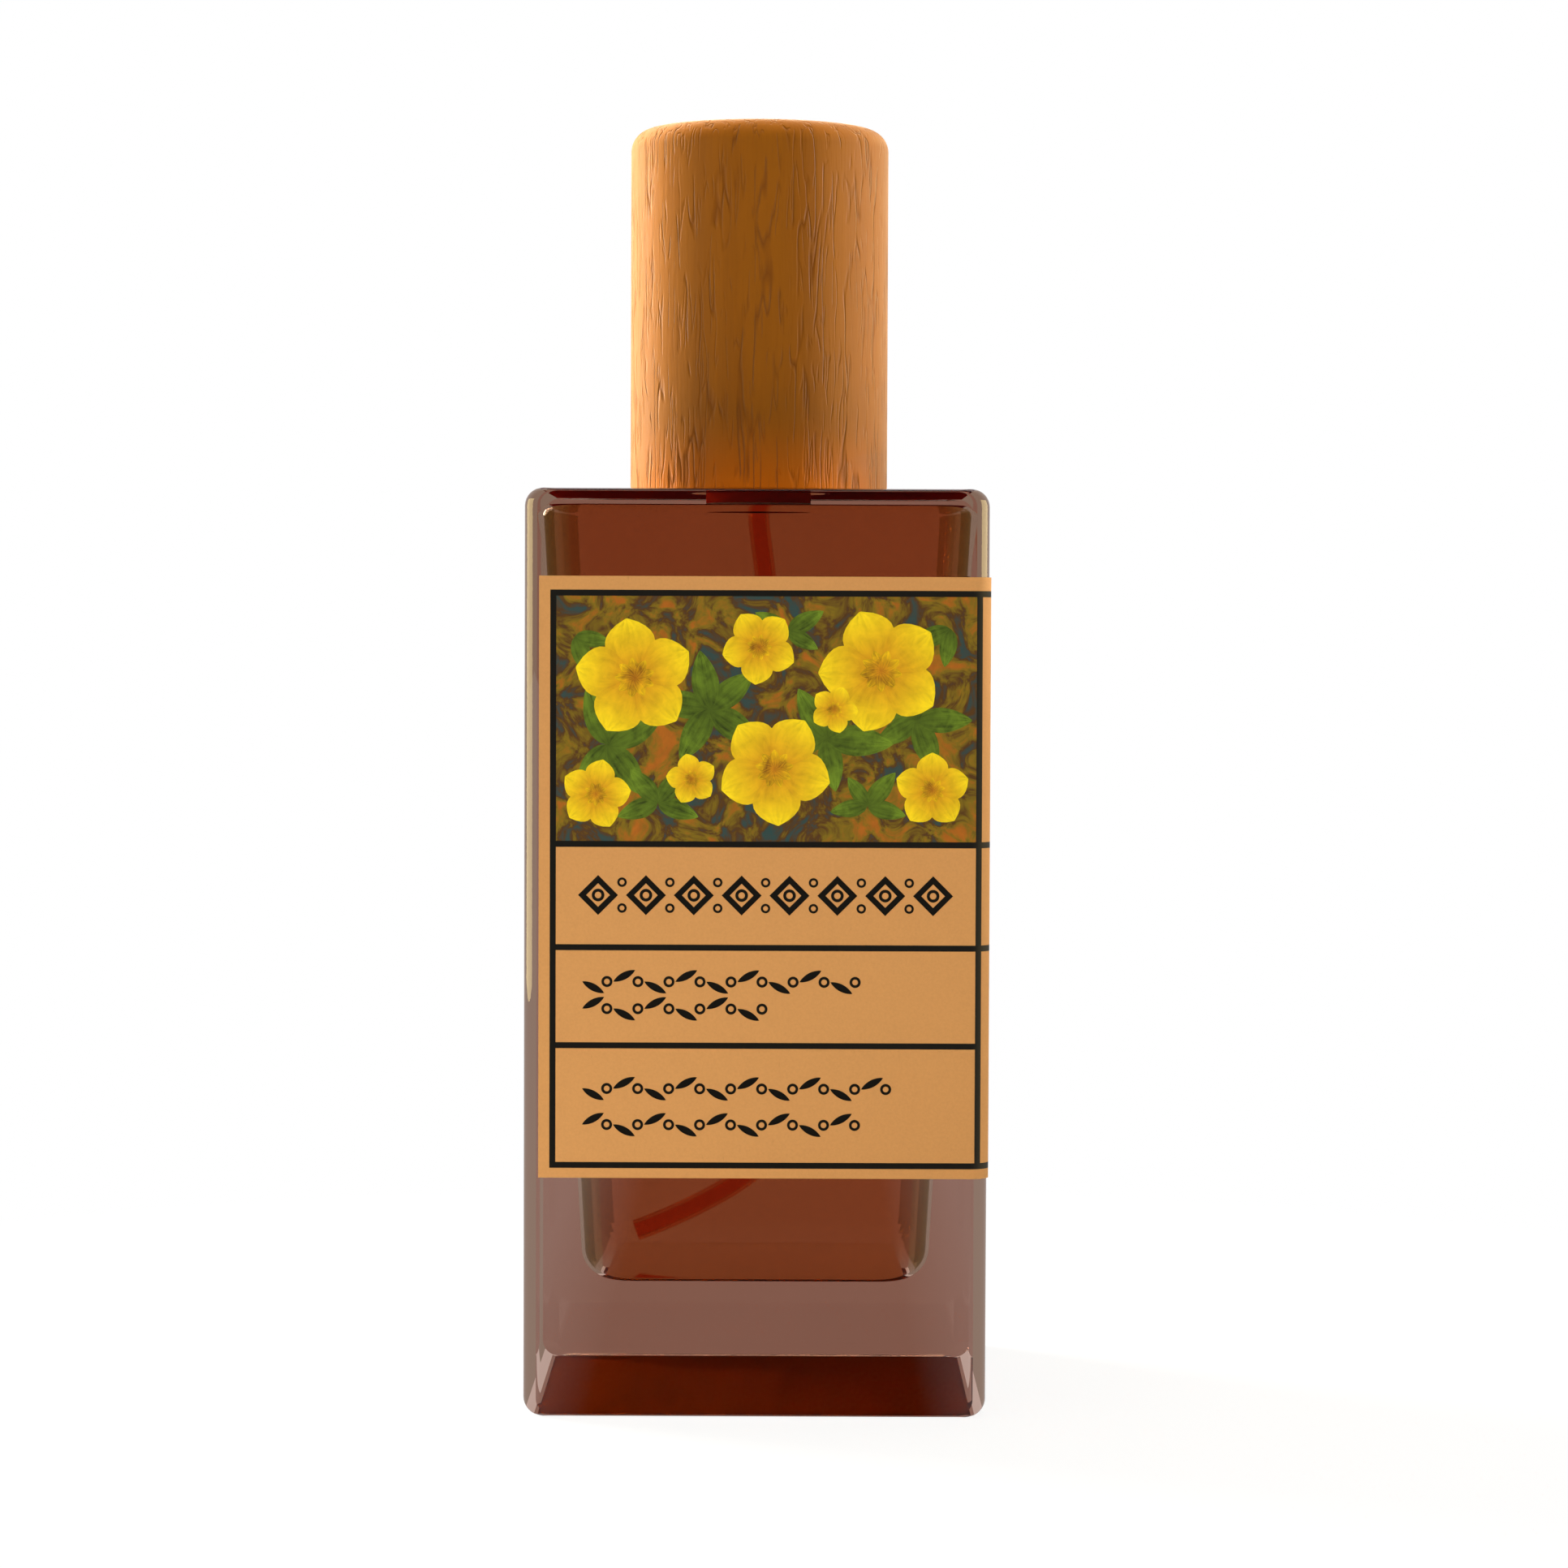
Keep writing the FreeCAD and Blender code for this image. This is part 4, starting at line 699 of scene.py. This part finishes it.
class BOTTLE_OT_glass(bpy.types.Operator):
    """Models the thick glass with its tapered hollow and crimp neck"""

    bl_idname = "bottle.glass"
    bl_label = "Glass"

    def execute(self, context):
        settings = context.scene.spray_bottle.glass
        piece = block(settings.width, settings.depth, 0, settings.shoulder)
        edit_mode()
        pick(piece, "EDGE", lambda edge: abs(edge.verts[0].co.y - edge.verts[1].co.y) > 1 * MM)
        bevel(settings.edge_round, 8)
        object_mode()
        self.weigh_outlines(piece, settings.edge_fine / settings.edge_round)
        apply_modifier(
            piece, "BEVEL", width=settings.edge_round, segments=6, limit_method="WEIGHT",
            use_clamp_overlap=False,
        )
        neck_top = GLASS_HIGH.z
        sunk, lip_round, overrun = 0.9 * MM, 0.5 * MM, 1 * MM
        bead_root = settings.bead_low - (settings.bead - settings.neck)
        neck = turned((
            (settings.neck, settings.shoulder - sunk), (settings.neck, bead_root),
            (settings.bead, settings.bead_low), (settings.bead, neck_top),
        ))
        edit_mode()
        pick(neck, "EDGE", level_with(neck_top))
        bevel(lip_round, 4)
        object_mode()
        combine(piece, neck, "UNION")
        combine(piece, hollow_form(settings), "DIFFERENCE")
        # The bore is split at the rim height, so that its lower end can carry the painted light.
        bore = turned((
            (settings.bore, settings.ceiling - overrun), (settings.bore, settings.ceiling + settings.rim),
            (settings.bore, neck_top + overrun),
        ))
        combine(piece, bore, "DIFFERENCE")
        self.set_materials(piece, settings)
        even_normals(piece)
        seat(piece, "glass_flask", "bottle", "clear_glass", "glass_bottle")
        return {"FINISHED"}

    def weigh_outlines(self, piece, fine):
        """Full rounds on the upright edges of front and back, fine ones on the level edges."""
        corners = piece.data.vertices
        weights = piece.data.attributes.new("bevel_weight_edge", "FLOAT", "EDGE").data
        for edge in piece.data.edges:
            run = corners[edge.vertices[1]].co - corners[edge.vertices[0]].co
            if abs(run.y) < SAME:
                weights[edge.index].value = fine + (1 - fine) * abs(run.z) / run.length

    def set_materials(self, piece, settings):
        """Tinted outside, a clear step to the liquid, and some faces that look different from inside;
        several carry painted shade or painted light.
        """
        white = (1, 1, 1)
        outer = (settings.glass_tint, clear(settings.bending, coat=1.0))
        dry = (white, clear(GLASS_INDEX))
        step = clear(WET_STEP)
        unbent = clear(1.0)
        finishes = {
            "outer": glass_material("tinted_glass", outer),
            "edge": glass_material("edge_glass", (settings.glass_tint, clear(1.0, coat=1.0))),
            "wet": glass_material("wetted_glass", (white, step)),
            # Painted shade on the side walls of the hollow
            "wet_side": glass_material("wetted_side_painted_shade", (settings.side_wall_painted_shade, step)),
            "floor": glass_material("wetted_floor", (settings.floor_tint, MIRROR), (white, step)),
            # Painted shade on the bore, seen from inside
            "bore": glass_material("neck_painted_shade_glass", dry, (settings.neck_painted_shade, MATT)),
            # Painted light on the lower end of the bore, seen from inside
            "rim": glass_material("rim_painted_light_glass", dry, (settings.rim_painted_light, MATT)),
            # Painted shade on the underside, seen from inside
            "shaded": glass_material("underside_painted_shade_glass", outer, (settings.underside_painted_shade, MATT)),
            # Painted shade on the shoulder, seen from inside
            "lid": glass_material("shoulder_painted_shade_glass", outer, (settings.shoulder_painted_shade, MATT)),
            # Painted light on the left and right faces, seen from inside
            "side": glass_material("side_painted_light_glass", outer, (settings.side_face_painted_light, unbent)),
            "pale": glass_material("pale_glass", outer, (white, unbent)),
        }
        piece.data.materials.clear()
        for finish in finishes.values():
            piece.data.materials.append(finish)
        order = list(finishes)
        for face in piece.data.polygons:
            face.material_index = order.index(self.kind_of(face.center, face.normal, settings))

    def kind_of(self, spot, facing, settings):
        """Which finish a face takes, by its place and the way it faces."""
        reach = max(abs(spot.x), abs(spot.y))
        level, across, deep = abs(facing.z), abs(facing.x), abs(facing.y)
        if level > 0.99 and spot.z < SLACK:
            return "shaded"
        if level > 0.99 and abs(spot.z - settings.shoulder) < SLACK:
            return "lid"
        if spot.xy.length < settings.bore + SLACK and spot.z > settings.ceiling:
            return "rim" if spot.z < settings.ceiling + settings.rim else "bore"
        if reach < settings.top_half + SLACK and SLACK < spot.z < settings.ceiling + 0.01 * MM:
            if level > 0.97:
                return "floor"
            return "wet_side" if across > 0.7 else "wet"
        if spot.z > settings.shoulder or deep > 0.99:
            return "outer"
        if deep < 0.2:
            return "pale" if facing.z < -0.6 else "side"
        return "edge" if across > 0.2 else "outer"


class BOTTLE_OT_liquid(bpy.types.Operator):
    """Fills the hollow up to its ceiling"""

    bl_idname = "bottle.liquid"
    bl_label = "Liquid"

    def execute(self, context):
        settings = context.scene.spray_bottle.glass
        overlap = 0.04 * MM
        piece = hollow_form(settings, overlap)
        piece.data.materials.append(liquid_material(settings.liquid_tint, settings.liquid_depth))
        even_normals(piece)
        seat(piece, "amber_fill", "bottle", "tinted_liquid", "fragrance_fill")
        return {"FINISHED"}


class BOTTLE_OT_label(bpy.types.Operator):
    """Wraps the paper round the front and the right side, with its ruled frames"""

    bl_idname = "bottle.label"
    bl_label = "Label"

    def execute(self, context):
        glass = context.scene.spray_bottle.glass
        settings = context.scene.spray_bottle.label
        left, back = LABEL_LOW.x, LABEL_HIGH.y
        low, high = LABEL_LOW.z, LABEL_HIGH.z
        bend = Vector((glass.width / 2 - glass.edge_round, glass.edge_round - glass.depth / 2, 0))
        radius = glass.edge_round + settings.glue
        front = bend.y - radius
        middle = ((left + bend.x) / 2, front, (low + high) / 2)
        clear_selection()
        bpy.ops.mesh.primitive_plane_add(size=1, rotation=(math.pi / 2, 0, 0), location=middle)
        piece = bpy.context.object
        piece.scale = (bend.x - left, high - low, 1)
        apply_place()
        edit_mode()
        pick(piece, "EDGE", lambda edge: all(abs(end.co.x - bend.x) < SAME for end in edge.verts))
        bpy.ops.mesh.spin(steps=16, angle=-math.pi / 2, center=bend, axis=(0, 0, 1))
        side = bend.x + radius
        pick(piece, "EDGE", lambda edge: all(
            abs(end.co.x - side) < SAME and abs(end.co.y - bend.y) < SAME for end in edge.verts))
        draw_out((0, back - bend.y, 0))
        bpy.ops.mesh.select_all(action="SELECT")
        bpy.ops.mesh.remove_doubles(threshold=MERGE)
        object_mode()
        run_front, run_bend = bend.x - left, radius * math.pi / 2
        run = run_front + run_bend + back - bend.y
        sheet = piece.data
        print_map = sheet.uv_layers.active.data
        for loop in sheet.loops:
            spot = sheet.vertices[loop.vertex_index].co
            if spot.y > bend.y:
                along = run_front + run_bend + spot.y - bend.y
            elif spot.x > bend.x:
                along = run_front + radius * math.atan2(spot.x - bend.x, bend.y - spot.y)
            else:
                along = spot.x - left
            print_map[loop.index].uv = (along / run, (spot.z - low) / (high - low))
        back_colour = settings.paper_colour
        sheet.materials.append(label_material(settings, run, high - low))
        sheet.materials.append(print_material("label_back", back_colour, back_colour, 0.15))
        apply_modifier(piece, "SOLIDIFY", thickness=settings.paper, offset=1.0)
        for face in sheet.polygons:
            away = Vector((max(face.center.x - bend.x, 0), min(face.center.y - bend.y, 0), 0))
            face.material_index = int(face.normal.dot(away) < -SAME)
        make_active(piece)
        bpy.ops.object.shade_smooth_by_angle(angle=math.radians(30))
        seat(piece, "paper_label", "bottle", "label_paper", "wrap_label")
        return {"FINISHED"}


def flat_leaf(run, wide, belly):
    """A flat petal or leaf on the drawing board, from its root at the middle upwards."""
    rows, same_row = 12, 1e-4
    clear_selection()
    bpy.ops.mesh.primitive_grid_add(x_subdivisions=4, y_subdivisions=rows, size=1)
    piece = bpy.context.object
    edit_whole()
    bpy.ops.transform.translate(value=(0, 0.5, 0))
    for row in range(rows + 1):
        share = row / rows
        pick(piece, "VERT", lambda corner: abs(corner.co.y - share) < same_row)
        swell = max(0.03, math.sin(math.pi * share ** belly) ** 0.75)
        bpy.ops.transform.resize(value=(swell, 1, 1), center_override=(0, 0, 0))
    bpy.ops.mesh.select_all(action="SELECT")
    bpy.ops.transform.resize(value=(wide, run, 1), center_override=(0, 0, 0))
    object_mode()
    return piece


def flat_ring(corners, radius, hole):
    """A flat ring or lozenge on the drawing board."""
    clear_selection()
    bpy.ops.mesh.primitive_circle_add(vertices=corners, radius=radius, fill_type="NGON")
    piece = bpy.context.object
    edit_whole()
    bpy.ops.mesh.inset(thickness=hole, depth=0)
    bpy.ops.mesh.delete(type="FACE")
    object_mode()
    return piece


def laid(shape, spot, turn=0.0, size=1.0, lift=0.0):
    """A copy of a flat shape at a spot in millimetres on the drawing board."""
    copy = shape.copy()
    copy.data = shape.data.copy()
    bpy.context.scene.collection.objects.link(copy)
    place = Matrix.Translation((spot[0] * MM, spot[1] * MM, lift))
    copy.matrix_world = place @ Matrix.Rotation(math.radians(turn), 4, "Z") @ Matrix.Scale(size, 4)
    return copy


class BOTTLE_OT_picture(bpy.types.Operator):
    """Prints blossoms, leaves and plain ornaments on the front of the label"""

    bl_idname = "bottle.picture"
    bl_label = "Label print"

    def execute(self, context):
        settings = context.scene.spray_bottle.label
        self.lift = settings.lift
        self.front = context.scene.spray_bottle.glass.depth / -2 - settings.glue - settings.paper
        pale_leaf = tuple(min(1.0, part * 2.2) for part in settings.leaf)
        red, green, blue = settings.petal
        pale_petal = (min(1.0, red * 1.1), min(1.0, green * 1.2), blue * 4)
        self.leaves(print_material("leaf_print", settings.leaf, pale_leaf, 0.8))
        self.blossoms(
            print_material("petal_print", settings.heart, pale_petal, 0.32),
            print_material("heart_print", settings.heart, settings.petal, 0.9),
        )
        self.ornaments(print_material("ink_print", settings.ink_colour, settings.ink_colour, 0.5))
        return {"FINISHED"}

    def print_on(self, name, shapes, models):
        """Joins flat shapes, stands them on the front of the paper and ties them to it."""
        for model in models:
            bpy.data.objects.remove(model)
        clear_selection()
        for shape in shapes:
            shape.select_set(True)
        bpy.context.view_layer.objects.active = shapes[0]
        bpy.ops.object.join()
        piece = bpy.context.object
        apply_place()
        piece.rotation_euler.x = math.pi / 2
        piece.location.y = self.front
        apply_place()
        apply_modifier(piece, "SOLIDIFY", thickness=self.lift, offset=1.0)
        seat(piece, name, "bottle", "label_paper")

    def leaves(self, finish):
        leaf = flat_leaf(5.2 * MM, 2.4 * MM, 0.8)
        leaf.data.materials.append(finish)
        sprays = (
            (-11.4, 52.2, (20, 140, 215, 300), 0.85), (-3.6, 55.0, (10, 80, 150, 235, 310), 0.9),
            (5.4, 52.8, (30, 100, 190, 265, 330), 0.9), (12.4, 54.2, (0, 65, 120, 200, 270), 0.8),
            (-7.6, 47.8, (40, 110, 250, 320), 0.6), (8.6, 47.6, (35, 100, 255, 320), 0.6),
            (2.4, 61.0, (60, 120, 240, 300), 0.55), (-14.0, 60.6, (200, 260), 0.6),
            (15.0, 61.2, (110, 170), 0.6),
        )
        shapes = []
        for across, up, turns, size in sprays:
            for turn in turns:
                step = (len(shapes) % 5 + 1) * self.lift
                grown = size * (0.85 + 0.3 * (turn % 7) / 7)
                shapes.append(laid(leaf, (across, up), turn, grown, step))
        self.print_on("leaf_print", shapes, [leaf])

    def blossoms(self, petal_finish, heart_finish):
        petal = flat_leaf(4.4 * MM, 3.7 * MM, 1.35)
        petal.data.materials.append(petal_finish)
        heart = flat_leaf(1.5 * MM, 0.8 * MM, 1.0)
        heart.data.materials.append(heart_finish)
        flowers = (
            (-9.4, 57.4, 8, 1.05), (1.4, 50.4, 40, 1.0), (9.6, 58.0, 20, 1.1), (-12.4, 48.4, 60, 0.62),
            (13.6, 48.8, 0, 0.66), (0.2, 59.8, 30, 0.66), (-5.0, 49.6, 12, 0.45), (6.0, 55.0, 50, 0.42),
        )
        shapes = []
        for across, up, start, size in flowers:
            for count in range(5):
                step = (8 + count) * self.lift
                shapes.append(laid(petal, (across, up), start + 72 * count, size, step))
            for count in range(9):
                step = (15 + count % 3) * self.lift
                shapes.append(laid(heart, (across, up), start + 40 * count, size, step))
        self.print_on("blossom_print", shapes, [petal, heart])

    def ornaments(self, finish):
        lozenge = flat_ring(4, 1.55 * MM, 0.45 * MM)
        ring = flat_ring(20, 0.62 * MM, 0.3 * MM)
        dash = flat_leaf(1.7 * MM, 0.5 * MM, 1.0)
        for model in (lozenge, ring, dash):
            model.data.materials.append(finish)
        shapes = []
        lozenges, pitch, band = 8, 3.7, 40.6
        for count in range(lozenges):
            across = -12.2 + pitch * count
            shapes.append(laid(lozenge, (across, band), 0, 1.0, self.lift))
            shapes.append(laid(ring, (across, band), 0, 0.8, self.lift))
            if count < lozenges - 1:
                for up in (band + 1, band - 1):
                    shapes.append(laid(ring, (across + pitch / 2, up), 0, 0.6, self.lift))
        for row, (up, dashes) in enumerate(((33.9, 9), (31.8, 6), (25.6, 10), (22.8, 9))):
            for count in range(dashes):
                across = -13.4 + 2.4 * count
                lean = -62 if (row + count) % 2 else -118
                shapes.append(laid(dash, (across, up), lean, 1.12, self.lift))
                shapes.append(laid(ring, (across + 1.9, up), 0, 0.7, self.lift))
        self.print_on("ornament_print", shapes, [lozenge, ring, dash])


class BOTTLE_OT_cap(bpy.types.Operator):
    """Turns the wooden cap and its bore"""

    bl_idname = "bottle.cap"
    bl_label = "Cap"

    def execute(self, context):
        settings = context.scene.spray_bottle.cap
        low, high = CAP_LOW.z, CAP_HIGH.z
        gap = 0.02 * MM
        radius, bore = CAP_HIGH.x, LINER_HIGH.x + gap
        clear_selection()
        bpy.ops.mesh.primitive_cylinder_add(
            vertices=settings.sides, radius=radius, depth=high - low, location=(0, 0, (low + high) / 2)
        )
        piece = bpy.context.object
        apply_place()
        edit_mode()
        pick(piece, "FACE", lambda face: face.normal.z < -0.9)
        bpy.ops.mesh.inset(thickness=radius - bore, depth=0)
        draw_out((0, 0, high - settings.roof - low))
        pick(piece, "EDGE", level_with(high))
        bevel(settings.top_round, 10)
        pick(piece, "EDGE", lambda edge: level_with(low)(edge) and len(edge.link_faces) == 2
             and abs(edge.link_faces[0].normal.z - edge.link_faces[1].normal.z) > 0.5)
        bevel(settings.foot_round, 3)
        pick(piece, "FACE", lambda face: face.normal.z > 0.9 and face.calc_center_median().z > high - SAME)
        for _ in range(3):
            bpy.ops.mesh.inset(thickness=1.6 * MM, depth=0)
        object_mode()
        outward(piece)
        piece.data.materials.append(wood_material(settings))
        even_normals(piece)
        seat(piece, "wooden_cap", "cap", "cap_wood", "cap_shell")
        return {"FINISHED"}


def coil(wire, turns, node):
    """Round wire wound up from one seat of a spring's solid to the other."""
    low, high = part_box(node)
    mean = high.x - wire / 2
    start, stop = low.z + wire / 2, high.z - wire / 2
    clear_selection()
    bpy.ops.mesh.primitive_circle_add(
        vertices=14, radius=wire / 2, fill_type="NOTHING",
        location=(mean, 0, start), rotation=(math.pi / 2, 0, 0),
    )
    piece = bpy.context.object
    apply_place()
    apply_modifier(
        piece, "SCREW", axis="Z", angle=2 * math.pi, screw_offset=(stop - start) / turns,
        iterations=turns, steps=40, render_steps=40,
    )
    edit_whole()
    bpy.ops.mesh.fill_holes(sides=0)
    object_mode()
    outward(piece)
    make_active(piece)
    bpy.ops.object.shade_smooth_by_angle(angle=math.radians(40))
    return piece


class BOTTLE_OT_springs(bpy.types.Operator):
    """Winds the return spring and the prime spring"""

    bl_idname = "bottle.springs"
    bl_label = "Springs"

    def execute(self, context):
        settings = context.scene.spray_bottle.pump
        wire = metal_material("spring_wire", settings.steel, 0.22)
        piece = coil(settings.spring_wire, settings.spring_turns, "return_spring")
        piece.data.materials.append(wire)
        seat(piece, "return_coil", "bottle", "spring_steel", "return_spring")
        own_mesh(piece)
        piece = coil(settings.prime_wire, settings.prime_turns, "prime_spring")
        piece.data.materials.append(wire)
        seat(piece, "prime_coil", "plunger", "spring_steel", "prime_spring")
        return {"FINISHED"}


class BOTTLE_OT_pump(bpy.types.Operator):
    """Gives the pump's mouldings and metal their finishes"""

    bl_idname = "bottle.pump"
    bl_label = "Pump finishes"

    def execute(self, context):
        settings = context.scene.spray_bottle.pump
        glass = context.scene.spray_bottle.glass
        gold = metal_material("pale_gold", settings.gold, 0.2)
        milk = moulded_material("milky_moulding", settings.milk, 0.38)
        finishes = {
            "ferrule_collar": gold,
            "actuator_shell": gold,
            "crimp_ferrule": metal_material("bright_sheet", settings.sheet, 0.16),
            "check_ball": metal_material("ball_steel", settings.steel, 0.1),
            "neck_gasket": moulded_material("gasket_rubber", settings.seal, 0.6, 4.0),
            "cap_liner": moulded_material("liner_moulding", settings.liner, 0.4),
            "dip_tube": tube_material(glass.tube_colour),
            "nozzle_insert": moulded_material("nozzle_moulding", settings.milk, 0.22),
        }
        for node in ("pump_housing", "stem_turret", "pump_stem", "pump_piston", "actuator_core"):
            finishes[node] = milk
        for node, finish in finishes.items():
            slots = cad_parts[node].data.materials
            slots.clear()
            slots.append(finish)
        return {"FINISHED"}


class BOTTLE_OT_stage(bpy.types.Operator):
    """Sets the pale floor, the soft studio light and the camera"""

    bl_idname = "bottle.stage"
    bl_label = "Stage"

    def execute(self, context):
        settings = context.scene.spray_bottle.stage
        scene = context.scene
        scene.view_settings.view_transform = "Standard"
        self.set_floor(settings)
        self.set_world(scene, settings)
        self.set_lamps(settings)
        self.set_camera(scene, settings)
        return {"FINISHED"}

    def set_lamps(self, settings):
        """Three lamps that no piece mirrors, and two cards that are only mirrored."""
        body, wood = Vector((0, 0, 0.05)), Vector((0, 0, 0.09))
        shade = settings.lamp_colour
        self.set_lamp("key_lamp", settings.key, shade, (-0.45, 0.32, 0.25), body, 0.22, 0.4)
        side = self.set_lamp("side_lamp", settings.side, shade, (0.12, 0.028, 0.11), wood, 0.05, 0.05)
        side.data.spread = settings.side_spread
        side.visible_transmission = False
        self.set_lamp("top_lamp", settings.top, settings.top_colour, (0, 0.05, 0.8), body, 0.5, 0.5)
        for hand in (-1, 1):
            spot = Vector((0.33 * hand, -0.06, 0.1))
            level = Vector((0, 0, spot.z))
            card = self.set_lamp("card", settings.card, settings.card_colour, spot, level, 0.3, 0.19)
            card.visible_glossy = True
            card.visible_diffuse = card.visible_transmission = False

    def set_camera(self, scene, settings):
        lens = bpy.data.cameras.new("camera")
        lens.sensor_width = settings.sensor
        lens.lens = settings.lens
        camera = bpy.data.objects.new("camera", lens)
        scene.collection.objects.link(camera)
        place = Matrix.Translation((settings.camera_x, settings.camera_y, settings.camera_z))
        aim = Matrix.Rotation(math.pi / 2 - settings.tilt, 4, "X") @ Matrix.Rotation(settings.roll, 4, "Z")
        camera.matrix_world = place @ aim
        scene.camera = camera

    def set_floor(self, settings):
        """A floor that shows white, faintly shaded near the bottle, and mirrors a dark card ahead."""
        clear_selection()
        bpy.ops.mesh.primitive_plane_add(size=8, location=(0, 0, -FLOOR_DROP))
        floor = bpy.context.object
        floor.name = floor.data.name = "floor"
        material, tree, shader, output = new_material("pale_floor")
        set_inputs(tree, shader, {
            "Base Color": full(settings.floor_colour), "Roughness": 0.9, "Specular IOR Level": 0.0,
        })
        spot = add_node(tree, "ShaderNodeTexCoord").outputs["Object"]
        right, back, _ = separate(tree, spot)
        straight, mirrored = self.rays(tree)
        depth = scaled(tree, back, 20.0, 0.5)
        clear_of = scaled(tree, calculate(tree, "ABSOLUTE", right), 40.0, -0.22)
        card = self.front_card(tree, larger(tree, clear_of, depth), 0.85)
        shade = mix_colours(tree, mirrored, grey(1.0), card)
        shade = mix_colours(tree, straight, shade, grey(1.0))
        glow = add_node(tree, "ShaderNodeEmission", {"Color": shade, "Strength": 1.0})
        reach = add_node(tree, "ShaderNodeVectorMath", {0: spot}, operation="LENGTH").outputs["Value"]
        near = ramp(tree, reach, ((0.03, grey(0.9)), (0.12, grey(1.0))))
        share = larger(tree, times(tree, straight, near), mirrored)
        show_both(tree, output, share, shader, glow)
        floor.data.materials.append(material)

    def set_world(self, scene, settings):
        """A room that lights the pieces, shows white and mirrors a dark card ahead."""
        world = bpy.data.worlds.new("studio")
        scene.world = world
        world.use_nodes = True
        tree = world.node_tree
        tree.nodes.clear()
        look = add_node(tree, "ShaderNodeTexCoord").outputs["Generated"]
        back = separate(tree, look)[1]
        straight, mirrored = self.rays(tree)
        card = self.front_card(tree, scaled(tree, back, 0.5, 0.5))
        shade = mix_colours(tree, mirrored, full(settings.room), card)
        shade = mix_colours(tree, straight, shade, grey(1.0))
        light = add_node(tree, "ShaderNodeBackground", {"Color": shade, "Strength": 1.0})
        output = add_node(tree, "ShaderNodeOutputWorld")
        tree.links.new(light.outputs[0], output.inputs["Surface"])

    def rays(self, tree):
        """1 for rays that show the background straight or through glass, and 1 for those that mirror it."""
        path = add_node(tree, "ShaderNodeLightPath")
        straight = larger(tree, path.outputs["Is Camera Ray"], path.outputs["Is Transmission Ray"])
        return straight, path.outputs["Is Glossy Ray"]

    def front_card(self, tree, depth, bright=1.0):
        """Dark card round the camera, so that the front of the glass mirrors no white."""
        return ramp(tree, depth, ((0.30, grey(0.02)), (0.62, grey(bright))))

    def set_lamp(self, name, watts, shade, place, target, width, height):
        """A flat lamp aimed at a target, hidden from the camera and from mirrors."""
        lamp = bpy.data.lights.new(name, "AREA")
        lamp.energy = watts
        lamp.color = shade
        lamp.shape = "RECTANGLE"
        lamp.size = width
        lamp.size_y = height
        holder = bpy.data.objects.new(name, lamp)
        bpy.context.scene.collection.objects.link(holder)
        holder.location = place
        holder.rotation_mode = "QUATERNION"
        holder.rotation_quaternion = (target - Vector(place)).to_track_quat("-Z", "Y")
        holder.visible_camera = False
        holder.visible_glossy = False
        return holder


class BOTTLE_PT_panel(bpy.types.Panel):
    """Steps that dress the bottle"""

    bl_idname = "BOTTLE_PT_panel"
    bl_label = "Spray Bottle"
    bl_space_type = "VIEW_3D"
    bl_region_type = "UI"
    bl_category = "Spray Bottle"

    def draw(self, context):
        for step in STEPS:
            self.layout.operator(step.bl_idname)


SETTINGS = (GlassSettings, LabelSettings, CapSettings, PumpSettings, StageSettings, BottleSettings)
STEPS = (
    BOTTLE_OT_glass,
    BOTTLE_OT_liquid,
    BOTTLE_OT_label,
    BOTTLE_OT_picture,
    BOTTLE_OT_cap,
    BOTTLE_OT_springs,
    BOTTLE_OT_pump,
    BOTTLE_OT_stage,
)


def register():
    for part in (*SETTINGS, *STEPS, BOTTLE_PT_panel):
        bpy.utils.register_class(part)
    bpy.types.Scene.spray_bottle = PointerProperty(type=BottleSettings)


def unregister():
    del bpy.types.Scene.spray_bottle
    for part in reversed((*SETTINGS, *STEPS, BOTTLE_PT_panel)):
        bpy.utils.unregister_class(part)


def main():
    register()
    bpy.ops.bottle.glass()
    bpy.ops.bottle.liquid()
    bpy.ops.bottle.label()
    bpy.ops.bottle.picture()
    bpy.ops.bottle.cap()
    bpy.ops.bottle.springs()
    bpy.ops.bottle.pump()
    bpy.ops.bottle.stage()


if __name__ == "__main__":
    main()
